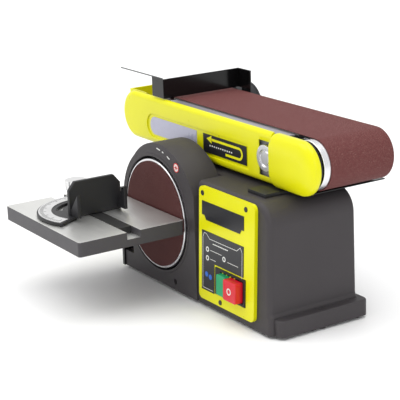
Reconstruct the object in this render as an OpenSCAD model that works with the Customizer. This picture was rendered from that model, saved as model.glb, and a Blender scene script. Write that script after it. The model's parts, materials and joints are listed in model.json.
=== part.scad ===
// Bench belt and disc sander. Millimetres, +Z up, origin midway between the two
// bench bolts on the bench plane. The belt runs along X, the motor shaft along Y,
// and the sanding disc faces -Y.

/* [Sanding belt and drums] */
// Width of the sanding belt
belt_w = 100; // [80:1:120]
// Length round the sanding belt
belt_len = 914; // [880:1:1000]
// Thickness of the sanding belt
belt_t = 0.9; // [0.6:0.1:1.5]
// Radius of the drive and idler drums
drum_r = 32.5; // [28:0.5:34]
// Wall of the drums
drum_wall = 4; // [3:0.5:6]
// How far the idler drum stands out in front of the belt
drum_nose = 10; // [9:1:12]
// Middle of the idler drum from the machine's middle
idler_x = 175.5; // [160:0.5:190]
// Height of the belt drums' axes above the bench
arm_z = 214; // [212:1:240]
// Radius of the drive drum's shaft
drum_shaft_r = 8; // [6:0.5:9]
// Travel of the idler when the tension is let off
tension_travel = 8; // [4:1:10]

/* [Sanding disc] */
// Radius of the sanding disc
disc_r = 75; // [60:1:76]
// Thickness of the disc plate
disc_t = 8; // [6:0.5:10]
// Thickness of the abrasive sheet
paper_t = 1.2; // [0.8:0.1:2]
// How far the disc's face stands out from the base's front
disc_out = 12; // [11:1:16]
// Gap between the disc's rim and the guard
disc_gap = 6; // [4:0.5:8]

/* [Base] */
// Length of the foot
base_l = 390; // [380:1:440]
// Depth of the foot
base_d = 142; // [136:1:170]
// Height of the foot flange's top
foot_h = 26; // [20:1:30]
// Height of the rubber feet
rubber_h = 4; // [3:0.5:6]
// Height of the housing's top
housing_h = 172; // [165:1:173]
// Wall of the housing
wall = 4; // [3:0.5:5]
// How far the front face leans back from bottom to top
front_lean = 7; // [4:0.5:8]
// Radius of the housing's upper right corner
shoulder_r = 30; // [15:1:40]
// Radius of the bench bolt holes
bench_bolt_r = 3; // [2:0.5:3.5]
// Distance of the bench bolts from the ends of the foot
bench_bolt_in = 10; // [8:0.5:11]

/* [Motor and drive] */
// Motor shaft from the machine's middle, towards the disc end
motor_off = 84; // [80:1:90]
// Height of the motor shaft above the bench
motor_z = 105; // [100:1:110]
// Radius of the motor's stator
stator_r = 46; // [40:1:47]
// Length of the stator
stator_l = 42; // [30:1:44]
// Radius of the motor shaft
motor_shaft_r = 7.5; // [6:0.5:8]
// Teeth on the motor's pulley
motor_teeth = 20; // [18:1:22]
// Teeth on the drum's pulley
drum_teeth = 32; // [28:1:34]
// Pitch of the toothed belt
tooth_pitch = 5; // [4:0.5:5]
// Outer radius of the drive case's ends
case_r = 34; // [33:0.5:36]
// Depth of the drive case
case_d = 30; // [28:1:36]

/* [Arm] */
// Half the height of the side cover
cover_r = 34.7; // [34:0.1:38]
// How far the side cover reaches past the drive drum's axis
cover_tail = 91; // [85:1:100]
// Depth of the side cover
cover_d = 5.8; // [5:0.1:8]
// How far the end cap stands out of the side cover
cap_out = 8; // [6:0.5:12]
// Skin of the covers
skin = 2.5; // [2:0.1:3]
// Height of the stop fence above the belt
fence_h = 28; // [20:1:40]
// Thickness of the sheet steel
sheet_t = 2; // [1.5:0.1:2.5]

/* [Disc table and mitre gauge] */
// Length of the table, along X
table_l = 219; // [200:1:240]
// Depth of the table, along Y
table_d = 159; // [140:1:170]
// Thickness of the table
table_t = 20; // [16:1:24]
// Height of the table's top above the motor shaft
table_up = 10.2; // [5:0.1:14]
// Gap between the table and the disc
table_gap = 2; // [1.5:0.1:4]
// Width of the mitre bar
bar_w = 19; // [15:1:22]
// Thickness of the mitre bar
bar_t = 9.4; // [6:0.1:10]
// Length of the mitre bar
bar_l = 155; // [120:1:170]
// Length of the mitre gauge's fence
gauge_l = 80; // [60:1:90]
// Height of the mitre gauge's fence
gauge_h = 50; // [30:1:60]

/* [Control panel] */
// Width of the panel
panel_w = 128; // [120:1:132]
// Height of the panel
panel_h = 155; // [140:1:156]
// Thickness of the panel
panel_t = 5; // [4:0.5:6]
// Travel of the start and stop buttons
press = 3.5; // [2:0.5:4]

/* [Hidden] */
$fn = 96;

gap = 0.3;                 // clearance between curved faces that don't touch
fit = 0.05;                // radial running clearance of a shaft in its bore
eps = 0.01;
motor_x = -motor_off;
front_y = -base_d / 2;     // front of the foot
disc_y = front_y - disc_out;
guard_y = disc_y + 3;      // front of the disc guard
guard_back = guard_y + 49; // back of the disc guard
guard_in = disc_r + disc_gap;
guard_out = guard_in + 11;
guard_right = motor_x + 99;
belt_in_r = drum_r + gap;
belt_out_r = belt_in_r + belt_t;
drum_gap = (belt_len - 2 * PI * (belt_in_r + belt_t / 2)) / 2;
drive_x = idler_x - drum_gap;
belt_y = 0;                // front edge of the belt
belt_back = belt_y + belt_w;
web_y = belt_y - 17;       // front of the arm's web
web_t = 3.5;
web_r = drum_r - 1.5;      // half the height of the arm's web
deck_r = drum_r - 2.1;     // from the drums' axes up to the platen
under_r = belt_out_r + 2.8; // from the drums' axes down to the lower guard
hood_up = belt_out_r - 0.7;
hood_down = belt_out_r + 2.3;
cover_y = web_y - gap / 2 - cover_d;
recess_d = 1.2;            // recess in the side cover
recess_h = 34;
wheel_gap = 29;            // opening round the tracking wheel: along X,
wheel_over = 20;           // above the arm's axis
wheel_under = 27;          // and below it
label_t = 0.6;
cap_y = cover_y - cap_out;
cap_x = idler_x - 60.5;    // left end of the end cap
cover_z = arm_z - 1.3;
rear_y = belt_back + 3.5;  // front of the arm's rear plate
rear_t = 4;
case_y = rear_y + rear_t + 5.5;
house_back = front_y + 134;
house_right = base_l / 2 - 19;
block_left = motor_x - stator_r - wall - 2;
neck_left = motor_x - 28;
motor_y = house_back - wall - 16 - stator_l; // front of the stator
bell_out = 10;             // from the stator to each end bell
bell_t = 5;
neck_back = motor_y - bell_out - bell_t - wall - 1; // clears the front bell
crown = 10;                // height of the housing's eased upper edge
bolt_x = base_l / 2 - bench_bolt_in;
plate_t = 1.5;             // base plate
post_h = 13;               // posts that the plate is screwed to
grub_r = 3;                // set screw in the disc's hub
hub_r = 18;
stator_bore = stator_r * 0.56;
gland_x = house_right - 36;
gland_z = 45;
gland_r = 8;
run_x = motor_x + 174;     // run capacitor
run_z = 60;
run_l = 70;
run_r = 18;
shoulder = house_right - shoulder_r;
lean_a = atan(front_lean / housing_h);
case_len = sqrt(pow(drive_x - motor_x, 2) + pow(arm_z - motor_z, 2));
case_a = atan2(arm_z - motor_z, drive_x - motor_x);
motor_pulley_r = motor_teeth * tooth_pitch / (2 * PI);
drum_pulley_r = drum_teeth * tooth_pitch / (2 * PI);
pulley_y = case_y + 10;
pulley_l = 14;
table_z = motor_z + table_up;
table_y = disc_y - table_gap;
table_x = motor_x - 138.6;
pivot_y = table_y - 5;
pivot_z = table_z - table_t + 3;
slot_y = table_y - 77.5;
slot_w = bar_w + 1;
slot_z = table_z - bar_t - 0.6;
gauge_x = motor_x - 34;    // mitre gauge's pivot
knob_x = gauge_x - 45;
block_x = idler_x - 62;    // left face of the carriage's block
guide_x = block_x - 43.5;  // left face of the guide block
guide_w = 14;
lever_x = guide_x - 30;
sleeve_r = 22;
idler_axle_r = 6;
knob_track_x = idler_x - 69.5;
panel_x = guard_right + 9;
panel_z = 14;
button_z = 34;

// Extrudes a profile drawn in X and Z from y by d along Y
module slab(y, d)
    translate([0, y + d, 0])
        rotate([90, 0, 0])
            linear_extrude(d)
                children();

// A cylinder along Y
module rod(x, z, y, d, r)
    translate([x, y + d, z])
        rotate([90, 0, 0])
            cylinder(h = d, r = r);

// A tube along Y
module tube(x, z, y, d, r, bore)
    difference() {
        rod(x, z, y, d, r);
        rod(x, z, y - 1, d + 2, bore);
    }

// A box from its low corner to its high corner
module block(a, b)
    translate(a)
        cube(b - a);

// A flat outline of constant radius between two points
module capsule(a, b, r) {
    len = norm(b - a);
    translate(a) circle(r);
    translate(b) circle(r);
    translate(a)
        rotate(atan2(b[1] - a[1], b[0] - a[0]))
            translate([0, -r])
                square([len, 2 * r]);
}

// A rectangle with rounded corners
module round_rect(w, h, r) {
    translate([r, 0]) square([w - 2 * r, h]);
    translate([0, r]) square([w, h - 2 * r]);
    for (x = [r, w - r])
        for (y = [r, h - r])
            translate([x, y]) circle(r);
}

// A pie slice from angle a to angle b
module slice(r, a, b)
    polygon(concat([[0, 0]], [for (i = [0:8]) let(t = a + (b - a) * i / 8)
        [2 * r * cos(t), 2 * r * sin(t)]]));

// A ring's part between two angles
module arc_band(r1, r2, a, b)
    intersection() {
        difference() {
            circle(r2);
            circle(r1);
        }
        slice(r2, a, b);
    }

// Moves a drawing onto the leaning front: x right, y up the face, z outwards
module on_front()
    translate([0, front_y - front_lean, 0])
        rotate([90 - lean_a, 0, 0])
            children();

// ---- base ----

// The housing as seen from the front
module housing_side() {
    square_xy([block_left, rubber_h], [shoulder, housing_h]);
    polygon([[shoulder - 1, rubber_h], [house_right + 3, rubber_h],
        [house_right, housing_h - shoulder_r], [shoulder - 1, housing_h - shoulder_r]]);
    translate([shoulder, housing_h - shoulder_r]) circle(shoulder_r);
}

module square_xy(a, b)
    translate(a)
        square(b - a);

// The housing as seen from its end, which leans back at the front
module housing_end()
    polygon([[front_y - front_lean, 0], [front_y - front_lean * crown / housing_h, housing_h - crown],
        [front_y + 3, housing_h - 3], [front_y + crown, housing_h], [house_back - 8, housing_h],
        [house_back - 2, housing_h - 2], [house_back, housing_h - 8], [house_back, 0]]);

module housing_block()
    intersection() {
        slab(front_y - front_lean - 1, base_d + 20) housing_side();
        translate([-base_l / 2, 0, 0])
            rotate([90, 0, 90])
                linear_extrude(base_l)
                    housing_end();
    }

module foot() {
    difference() {
        translate([-base_l / 2, front_y, rubber_h])
            linear_extrude(foot_h - rubber_h)
                round_rect(base_l, base_d, 10);
        block([-base_l, front_y - 1, 0], [guard_right, guard_back, foot_h + 1]);
    }
}

function plate_screws() = [for (x = [-base_l / 2 + 30, house_right - wall - 10],
    y = [guard_back + 16, -front_y - 18]) [x, y]];

// Posts that the base plate is screwed to, tied to the flange or the right wall
module plate_posts()
    for (p = plate_screws()) {
        block([p[0] - 6, p[1] - 5, rubber_h + plate_t],
            [p[0] + 6, p[1] + 5, rubber_h + plate_t + post_h]);
        if (p[0] > 0)
            block([p[0], p[1] - 3, rubber_h + 5], [house_right - wall + 1, p[1] + 3,
                rubber_h + plate_t + post_h]);
    }

module base_housing()
    color([0.29, 0.28, 0.29])
        difference() {
            union() {
                housing_shell();
                plate_posts();
            }
            for (p = plate_screws())
                translate([p[0], p[1], 0]) cylinder(h = plate_t + post_h, r = 2);
        }

// The flange, its bolt bosses and the hollow block, without the posts
module housing_shell()
    difference() {
        union() {
            foot();
            for (s = [-1, 1])
                translate([s * bolt_x, 0, 0])
                    cylinder(h = foot_h, r = bench_bolt_r + 3);
            difference() {
                housing_block();
                block([-base_l, front_y - 20, 0], [guard_right, guard_back, housing_h + 1]);
                block([-base_l, front_y - 20, 0], [neck_left, neck_back, housing_h + 1]);
            }
        }
        block([guard_right + wall, front_y + 5, 0],
            [house_right - wall, house_back - wall, housing_h - shoulder_r]);
        block([guard_right + wall, front_y + 5, 0],
            [shoulder, house_back - wall, housing_h - wall]);
        block([neck_left + wall, guard_back + wall, 0],
            [guard_right + wall + 1, house_back - wall, housing_h - wall]);
        block([block_left + wall, neck_back + wall, 0],
            [neck_left + wall + 1, house_back - wall, housing_h - wall]);
        translate([0, 0, -1])
            linear_extrude(rubber_h + 6)
                plate_outline();
        for (s = [-1, 1])
            translate([s * bolt_x, 0, -1])
                cylinder(h = foot_h + 5, r = bench_bolt_r);
        rod(motor_x, motor_z, guard_back - 1, wall + 2, motor_shaft_r + 3);
        rod(motor_x, motor_z, house_back - wall - 1, wall + 2, motor_shaft_r + 8);
        rod(gland_x, gland_z, house_back - wall - 1, wall + 2, gland_r);
        on_front()
            translate([panel_x + 47, button_z + 2, -20])
                cube([55, 25, 30]);
    }

module guard_outline() {
    translate([motor_x, motor_z]) circle(guard_out);
    intersection() {
        translate([motor_x + 12, motor_z + 8]) circle(guard_out + 2);
        square_xy([motor_x - 60, motor_z], [guard_right, motor_z + 150]);
    }
    square_xy([motor_x - 94, rubber_h], [guard_right, rubber_h + 24]);
    square_xy([motor_x - 70, rubber_h + 20], [guard_right, motor_z]);
}

module disc_guard()
    color([0.25, 0.25, 0.26])
        difference() {
            slab(guard_y, guard_back - guard_y)
                intersection() {
                    guard_outline();
                    square_xy([-base_l, rubber_h], [guard_right, 2 * arm_z]);
                }
            rod(motor_x, motor_z, guard_y - 1, guard_back - guard_y - 14 + 1, guard_in);
            rod(motor_x, motor_z, guard_y, guard_back - guard_y + 1, motor_shaft_r + 3);
            rod(motor_x + 44, motor_z - 89, guard_y - 1, 12, 4);
        }

// The opening under the foot, seen from above
module plate_outline() {
    square_xy([-base_l / 2 + 20, guard_back + 6], [house_right - wall, -front_y - 10]);
    square_xy([guard_right + 6, front_y + 6], [house_right - wall, guard_back + 7]);
}

module base_plate()
    color([0.45, 0.45, 0.47])
        translate([0, 0, rubber_h])
            linear_extrude(plate_t)
                difference() {
                    plate_outline();
                    for (p = plate_screws())
                        translate(p) circle(2);
                }

module rubber_feet()
    color([0.08, 0.08, 0.08])
        for (x = [-base_l / 2 + 14, base_l / 2 - 14])
            for (y = [guard_back + 16, -front_y - 14])
                translate([x, y, 0])
                    cylinder(h = rubber_h, r1 = 8, r2 = 9);

module base_screws()
    color("silver")
        for (p = plate_screws())
            translate([p[0], p[1], rubber_h - 1.6]) {
                cylinder(h = 1.6, r = 4);
                cylinder(h = 12, r = 2);
            }

module arm_rest()
    color([0.1, 0.1, 0.1]) {
        block([idler_x - 72, cover_y - 30, housing_h], [idler_x - 34, cover_y - 6, housing_h + 5]);
        block([idler_x - 72, cover_y - 6, housing_h], [idler_x - 34, belt_y + 40, arm_z - under_r - 2]);
    }

// ---- toothed belt drive ----

module drive_tunnel()
    color([0.29, 0.28, 0.29])
        tube(motor_x, motor_z, house_back, case_y - house_back, case_r, case_r - wall);

// The drive case's outline, whose flats lie a hair inside its round ends
module case_outline(r)
    translate([motor_x, motor_z])
        rotate(case_a) {
            circle(r);
            translate([case_len, 0]) circle(r);
            translate([0, eps * 4 - r]) square([case_len, 2 * (r - eps * 4)]);
        }

module drive_case()
    color([0.2, 0.2, 0.21])
        difference() {
            union() {
                slab(case_y, case_d)
                    case_outline(case_r);
                rod(drive_x, arm_z, rear_y + rear_t + 1, 6, sleeve_r + 8);
            }
            slab(case_y + 3, case_d)
                case_outline(case_r - 3);
            rod(drive_x, arm_z, rear_y, case_d, sleeve_r + fit);
            rod(motor_x, motor_z, case_y - 1, 5, motor_shaft_r + 2);
        }

module drive_cover()
    color([0.16, 0.16, 0.17])
        difference() {
            slab(case_y + case_d, 3)
                case_outline(case_r);
            for (p = cover_screw_points())
                rod(p[0], p[1], case_y, case_d + 10, 2);
        }

function cover_screw_points() = [for (t = [0.3, 0.75]) for (s = [-1, 1])
    [motor_x + t * (drive_x - motor_x) - s * (case_r - 1.5) * sin(case_a),
     motor_z + t * (arm_z - motor_z) + s * (case_r - 1.5) * cos(case_a)]];

module cover_screws()
    color("silver")
        for (p = cover_screw_points()) {
            rod(p[0], p[1], case_y + case_d + 3, 2, 3);
            rod(p[0], p[1], case_y + case_d, 3 + eps, 2);
        }

module toothed_wheel(x, z, y, d, teeth, bore)
    difference() {
        rod(x, z, y, d, teeth * tooth_pitch / (2 * PI) - 0.6);
        for (i = [0:teeth - 1])
            translate([x, y - 1, z])
                rotate([0, i * 360 / teeth, 0])
                    translate([teeth * tooth_pitch / (2 * PI) - 2.2, 0, -0.9])
                        cube([3, d + 2, 1.8]);
        rod(x, z, y - 1, d + 2, bore);
    }

module motor_pulley()
    color([0.6, 0.6, 0.62]) {
        toothed_wheel(motor_x, motor_z, pulley_y, pulley_l, motor_teeth, motor_shaft_r);
        tube(motor_x, motor_z, pulley_y - 2, 2, motor_pulley_r + 2, motor_shaft_r);
    }

module drum_pulley()
    color([0.6, 0.6, 0.62]) {
        toothed_wheel(drive_x, arm_z, pulley_y, pulley_l, drum_teeth, drum_shaft_r);
        tube(drive_x, arm_z, pulley_y + pulley_l, 2, drum_pulley_r + 2, drum_shaft_r);
    }

// The open belt's tangent outline round two wheels of unlike radius
module belt_outline(extra) {
    r1 = motor_pulley_r + extra;
    r2 = drum_pulley_r + extra;
    b = acos((r1 - r2) / case_len);
    translate([motor_x, motor_z])
        rotate(case_a) {
            circle(r1);
            translate([case_len, 0]) circle(r2);
            polygon([[r1 * cos(b), r1 * sin(b)], [case_len + r2 * cos(b), r2 * sin(b)],
                [case_len + r2 * cos(b), -r2 * sin(b)], [r1 * cos(b), -r1 * sin(b)]]);
        }
}

module drive_belt()
    color([0.07, 0.07, 0.07])
        difference() {
            slab(pulley_y + 1, pulley_l - 2) belt_outline(1.6);
            slab(pulley_y, pulley_l) belt_outline(0);
        }

// ---- motor ----

module motor_stator()
    color([0.5, 0.5, 0.52])
        difference() {
            rod(motor_x, motor_z, motor_y, stator_l, stator_r);
            rod(motor_x, motor_z, motor_y - 1, stator_l + 2, stator_bore);
            for (i = [0:23])
                translate([motor_x, motor_y - 1, motor_z])
                    rotate([0, i * 15, 0])
                        translate([stator_bore + 2, 0, -1.8])
                            cube([stator_r * 0.22, stator_l + 2, 3.6]);
        }

module motor_windings()
    color([0.72, 0.4, 0.2])
        for (y = [motor_y - 9, motor_y + stator_l])
            tube(motor_x, motor_z, y, 9, stator_r * 0.86, stator_r * 0.62);

module motor_bells()
    color([0.65, 0.65, 0.67]) {
        tube(motor_x, motor_z, motor_y - bell_out - bell_t, bell_t, stator_r, 14);
        tube(motor_x, motor_z, motor_y + stator_l + bell_out, bell_t, stator_r, 14);
        for (a = [45:90:315], y = [motor_y - bell_out, motor_y + stator_l])
            rod(motor_x + (stator_r - 3.2) * cos(a), motor_z + (stator_r - 3.2) * sin(a),
                y, bell_out, 3);
    }

module bearing(x, z, y, d, r, bore) {
    tube(x, z, y, d, r, r - 3);
    tube(x, z, y, d, bore + 2.5, bore);
    tube(x, z, y + 1, d - 2, r - 3, bore + 2.5);
}

module motor_bearings()
    color("silver") {
        bearing(motor_x, motor_z, motor_y - 16, 8, 14, motor_shaft_r + fit);
        bearing(motor_x, motor_z, motor_y + stator_l + 8, 8, 14, motor_shaft_r + fit);
    }

module motor_shaft()
    color([0.75, 0.75, 0.77])
        rod(motor_x, motor_z, disc_y + paper_t + disc_t, pulley_y + pulley_l + 3
            - disc_y - paper_t - disc_t, motor_shaft_r);

module rotor_core()
    color([0.58, 0.58, 0.6])
        tube(motor_x, motor_z, motor_y, stator_l, stator_bore - 0.6, motor_shaft_r);

module cooling_fan()
    color([0.15, 0.15, 0.16]) {
        tube(motor_x, motor_z, guard_back + wall + 2, 5, 13, motor_shaft_r);
        for (i = [0:8])
            translate([motor_x, guard_back + wall + 2, motor_z])
                rotate([0, i * 40, 0])
                    translate([12, 0.2, -1])
                        cube([11, 4.6, 2]);
    }

module disc_plate()
    color([0.8, 0.8, 0.82])
        difference() {
            union() {
                tube(motor_x, motor_z, disc_y + paper_t, disc_t, disc_r, 4);
                tube(motor_x, motor_z, disc_y + paper_t + disc_t, 14, hub_r, motor_shaft_r);
            }
            grub(motor_shaft_r - 1, hub_r + 1);
        }

// The hub's set screw, from one distance from the shaft's axis to another
module grub(a, b)
    translate([motor_x + a, disc_y + paper_t + disc_t + 7, motor_z])
        rotate([0, 90, 0])
            cylinder(h = b - a, r = grub_r);

module disc_screw()
    color([0.3, 0.3, 0.3])
        grub(motor_shaft_r + 0.1, hub_r - 1);

module sanding_disc()
    color([0.42, 0.2, 0.2])
        rod(motor_x, motor_z, disc_y, paper_t, disc_r - 0.5);

module capacitor()
    color([0.85, 0.85, 0.86])
        rod(run_x, run_z, house_back - wall - run_l, run_l, run_r);

module cable_gland()
    color([0.08, 0.08, 0.08])
        difference() {
            union() {
                rod(gland_x, gland_z, house_back, 10, gland_r + 3);
                rod(gland_x, gland_z, house_back - wall, wall + eps, gland_r);
            }
            rod(gland_x, gland_z, house_back - wall - 1, wall + 12, gland_r / 2);
        }

// ---- control panel ----

module panel_outline()
    translate([panel_x, panel_z]) round_rect(panel_w, panel_h, 8);

module switch_hole()
    translate([panel_x + 40, panel_z + 15]) square([70, 38]);

screw_points = [[panel_x + 9, panel_z + panel_h - 9], [panel_x + panel_w - 19, panel_z + panel_h - 9],
    [panel_x + 52, panel_z + 6]];

module control_panel()
    color([0.86, 0.88, 0.05])
        on_front()
            difference() {
                linear_extrude(panel_t) panel_outline();
                translate([0, 0, -1]) linear_extrude(panel_t + 2) switch_hole();
                for (p = screw_points)
                    translate([p[0], p[1], -1]) cylinder(h = panel_t + 2, r = 2.2);
            }

module panel_screws()
    color([0.2, 0.2, 0.2])
        on_front()
            for (p = screw_points)
                translate([p[0], p[1], 0]) {
                    cylinder(h = panel_t, r = 2.2);
                    translate([0, 0, panel_t]) cylinder(h = 1, r = 3.5);
                }

module name_plate()
    color([0.06, 0.06, 0.07])
        on_front()
            translate([panel_x + 8, panel_z + 111, panel_t])
                linear_extrude(0.8)
                    polygon([[0, 6], [0, 25], [97, 25], [97, 6], [92, 6], [88, 0], [10, 0], [6, 6]]);

module rating_label()
    color([0.06, 0.06, 0.07])
        on_front()
            difference() {
                translate([panel_x + 8, panel_z + 14, panel_t])
                    linear_extrude(0.6)
                        square([97, 82]);
                translate([panel_x + 38, panel_z + 13, panel_t - 1])
                    cube([74, 42, 3]);
            }

module switch_body()
    color([0.07, 0.07, 0.07])
        on_front()
            difference() {
                union() {
                    translate([panel_x + 40.5, panel_z + 15.5, 0])
                        cube([69, 37, panel_t + 1.5]);
                    translate([panel_x + 48, panel_z + 23, -18])
                        cube([52, 23, 18 + eps]);
                }
                translate([panel_x + 53, panel_z + 19, panel_t - 4])
                    cube([52, 30, 10]);
            }

module button(x, w, h, col)
    color(col)
        on_front()
            translate([x, panel_z + 20, panel_t + press - 4 + gap])
                linear_extrude(h)
                    round_rect(w, 28, 2.5);

module start_button() button(panel_x + 54, 20, 9, [0.1, 0.6, 0.3]);
module stop_button() button(panel_x + 76, 28, 13, [0.85, 0.12, 0.15]);

// ---- arm ----

module arm_frame()
    color([0.55, 0.55, 0.58])
        difference() {
            union() {
                slab(web_y, web_t)
                    difference() {
                        capsule([drive_x - cover_tail + 36, arm_z], [idler_x - 70, arm_z], web_r);
                        square_xy([idler_x - 45.5, 0], [idler_x + 60, 2 * arm_z]);
                    }
                block([drive_x + 30, web_y, arm_z + web_r - 1.5],
                    [idler_x - 39.5, belt_y - 0.7, arm_z + web_r + 0.5]);
                block([drive_x + 30, web_y, arm_z - web_r - 0.5],
                    [idler_x - 45.5, belt_y - 0.7, arm_z - web_r + 1.5]);
                rod(drive_x, arm_z, web_y, 13, 22);
                for (x = [drive_x + 117, guide_x])
                    block([x, web_y + 1, arm_z - deck_r + 2.4], [x + guide_w, rear_y + 1, arm_z + deck_r]);
                block([drive_x, rear_y, arm_z - 18], [guide_x + 30, rear_y + rear_t, arm_z + 18]);
                rod(drive_x, arm_z, rear_y, rear_t, 28);
                rod(drive_x, arm_z, rear_y, rear_t + 10.5, sleeve_r);
            }
            rod(drive_x, arm_z, web_y - 1, 20, drum_shaft_r + 1);
            rod(drive_x, arm_z, web_y + 3, 20, 17);
            rod(drive_x, arm_z, rear_y - 1, 20, drum_shaft_r + 1);
            rod(drive_x, arm_z, rear_y + 4.5, 20, 17);
            rod(knob_track_x, arm_z - 1, web_y - 1, web_t + 2, 4 + fit);
            for (y = guide_rods())
                translate([guide_x - 1, y, arm_z])
                    rotate([0, 90, 0])
                        cylinder(h = guide_w + 2, r = 5 + fit);
            rod(lever_x, arm_z, rear_y - 1, rear_t + 2, 4 + fit);
        }

function guide_rods() = [belt_y + 25, belt_back - 25];

module platen()
    color([0.62, 0.62, 0.65])
        block([drive_x + 20, belt_y + 1, arm_z + deck_r],
            [idler_x - tension_travel - 26, belt_back - 1, arm_z + drum_r - 0.1]);

module belt_loop(r) capsule([drive_x, arm_z], [idler_x, arm_z], r);

module sanding_belt()
    color([0.5, 0.34, 0.33])
        difference() {
            slab(belt_y, belt_w) belt_loop(belt_out_r);
            slab(belt_y - 1, belt_w + 2) belt_loop(belt_in_r);
        }

module cover_outline(r) {
    x = drive_x - cover_tail + cover_r;
    translate([x, cover_z]) circle(r);
    square_xy([x, cover_z - r], [cap_x - 0.2 + r - cover_r, cover_z + r]);
}

module side_cover()
    color([0.86, 0.88, 0.05])
        difference() {
            slab(cover_y, cover_d) cover_outline(cover_r);
            slab(cover_y + skin, cover_d) cover_outline(cover_r - skin);
            block([cap_x - wheel_gap, cover_y - 1, arm_z - wheel_under],
                [cap_x + 1, web_y + 1, arm_z + wheel_over]);
            slab(cover_y - 1, 1 + recess_d) recess_outline();
            slab(cover_y - 1, 1 + recess_d + 0.6) window_outline(0.3);
        }

// The shallow recess that holds the window and the direction label
module recess_outline()
    translate([drive_x - 24, arm_z - 26]) {
        translate([recess_h / 2, recess_h / 2]) circle(recess_h / 2);
        square_xy([recess_h / 2, 0], [drum_gap - 90, recess_h]);
    }

module window_outline(grow) {
    translate([drive_x - 12 - grow, arm_z - 22 - grow]) {
        h = 26 + 2 * grow;
        translate([h / 2, h / 2]) circle(h / 2);
        square_xy([h / 2, 0], [125 + 2 * grow, h]);
    }
}

module cover_window()
    color([0.66, 0.66, 0.74])
        slab(cover_y + recess_d, 0.6) window_outline(0);

module direction_label()
    color([0.06, 0.06, 0.07])
        slab(cover_y + recess_d - label_t, label_t)
            square_xy([idler_x - 222, arm_z - 22], [idler_x - 118, arm_z + 4]);

module end_cap()
    color([0.86, 0.88, 0.05])
        difference() {
            slab(cap_y, web_y - cap_y)
                cap_outline(cover_r + 0.8);
            slab(cap_y + skin, web_y - cap_y)
                cap_outline(cover_r + 0.8 - skin);
            block([cap_x - 1, cap_y + skin, arm_z - 20.5], [cap_x + skin + 1, web_y + 1, arm_z + 18.5]);
        }

module cap_outline(r) {
    translate([idler_x, cover_z]) circle(r);
    square_xy([cap_x + cover_r + 0.8 - r, cover_z - r], [idler_x, cover_z + r]);
}

module lower_guard()
    color([0.08, 0.08, 0.08]) {
        block([drive_x + 30, belt_y - 12, arm_z - under_r - 1.5],
            [idler_x + 3, rear_y + rear_t + 4, arm_z - under_r]);
        block([drive_x + 130, rear_y + rear_t, arm_z - under_r - 1.5],
            [guide_x + 20, rear_y + rear_t + 1.5, arm_z - 4]);
    }

hood_l = drive_x - 82;     // left end of the dust hood
hood_r = 33;               // radius of the hood's lower left corner
port_r = 15.5;
port_l = 24;

// The hood as seen from the front, drawn in by m
module hood_outline(m) {
    intersection() {
        translate([hood_l + hood_r, arm_z - hood_down + hood_r]) circle(hood_r - m);
        square_xy([hood_l, arm_z - hood_down], [hood_l + hood_r + 1, arm_z - hood_down + hood_r + 1]);
    }
    square_xy([hood_l + m, arm_z - hood_down + hood_r], [drive_x - 36, arm_z + hood_up]);
    square_xy([hood_l + hood_r, arm_z - hood_down + m], [drive_x - 36, arm_z + hood_up]);
}

module dust_hood()
    color([0.86, 0.88, 0.05])
        difference() {
            union() {
                slab(web_y + web_t, rear_y + 2.5 - web_y - web_t) hood_outline(0);
                port(port_l, port_r + 2);
            }
            slab(web_y + web_t + skin, rear_y - web_y - web_t - skin) hood_outline(skin);
            block([hood_l + skin, web_y + web_t + skin, arm_z + 20],
                [drive_x - 30, rear_y, arm_z + 40]);
            block([drive_x - 37, web_y + web_t + skin, arm_z - hood_down + skin],
                [drive_x - 30, rear_y, arm_z + 40]);
            translate([skin + 1, 0, 0]) port(port_l + skin + 2, port_r);
        }

// A cylinder of the dust port, which ends at the hood's left wall
module port(l, r)
    translate([hood_l - l + eps, belt_y + belt_w / 2, arm_z + 15])
        rotate([0, 90, 0])
            cylinder(h = l, r = r);

fence_z = max(arm_z + belt_out_r + 1.5, cover_z + cover_r + 1.8);
fence_x = drive_x + 27;

module stop_fence()
    color([0.03, 0.03, 0.03])
        difference() {
            union() {
                block([fence_x, belt_y - 22, fence_z], [fence_x + sheet_t, rear_y + rear_t + sheet_t,
                    fence_z + fence_h]);
                block([fence_x - 29, belt_y - 22, fence_z], [fence_x + sheet_t, belt_y - 22 + sheet_t,
                    fence_z + fence_h]);
                block([fence_x, rear_y + rear_t, fence_z], [fence_x + 32, rear_y + rear_t + sheet_t,
                    fence_z + fence_h]);
                block([fence_x + 10, rear_y + rear_t, arm_z - 10], [fence_x + 32,
                    rear_y + rear_t + sheet_t, fence_z + 5]);
            }
            for (z = [arm_z - 4, arm_z + 10])
                rod(fence_x + 21, z, rear_y + rear_t - 1, 5, 2.2);
        }

module clear_guard()
    color([0.85, 0.88, 0.9, 0.4])
        block([drive_x - 91.5, belt_y - 22, fence_z + fence_h],
            [fence_x + sheet_t, rear_y + rear_t, fence_z + fence_h + 1.8]);

module arm_screws()
    color("silver")
        for (z = [arm_z - 4, arm_z + 10]) {
            rod(fence_x + 21, z, rear_y + rear_t + sheet_t, 2.5, 4.5);
            rod(fence_x + 21, z, rear_y + rear_t, sheet_t + eps, 2.2);
        }

module drum_bearings()
    color("silver") {
        bearing(drive_x, arm_z, web_y + 3, 9, 17, drum_shaft_r + fit);
        bearing(drive_x, arm_z, rear_y + 4.5, 9, 17, drum_shaft_r + fit);
    }

// A hollow drum along Y with a web near each end
module drum(x, y0, y1, hub_r, bore) {
    tube(x, arm_z, y0, y1 - y0, drum_r, drum_r - drum_wall);
    for (y = [y0 + 2, y1 - 12]) {
        tube(x, arm_z, y + 3, 4, drum_r - drum_wall, hub_r);
        tube(x, arm_z, y, 10, hub_r, bore);
    }
}

module drive_drum()
    color([0.75, 0.75, 0.77])
        drum(drive_x, belt_y - 2, belt_back + 2, drum_shaft_r + 6, drum_shaft_r);

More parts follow.
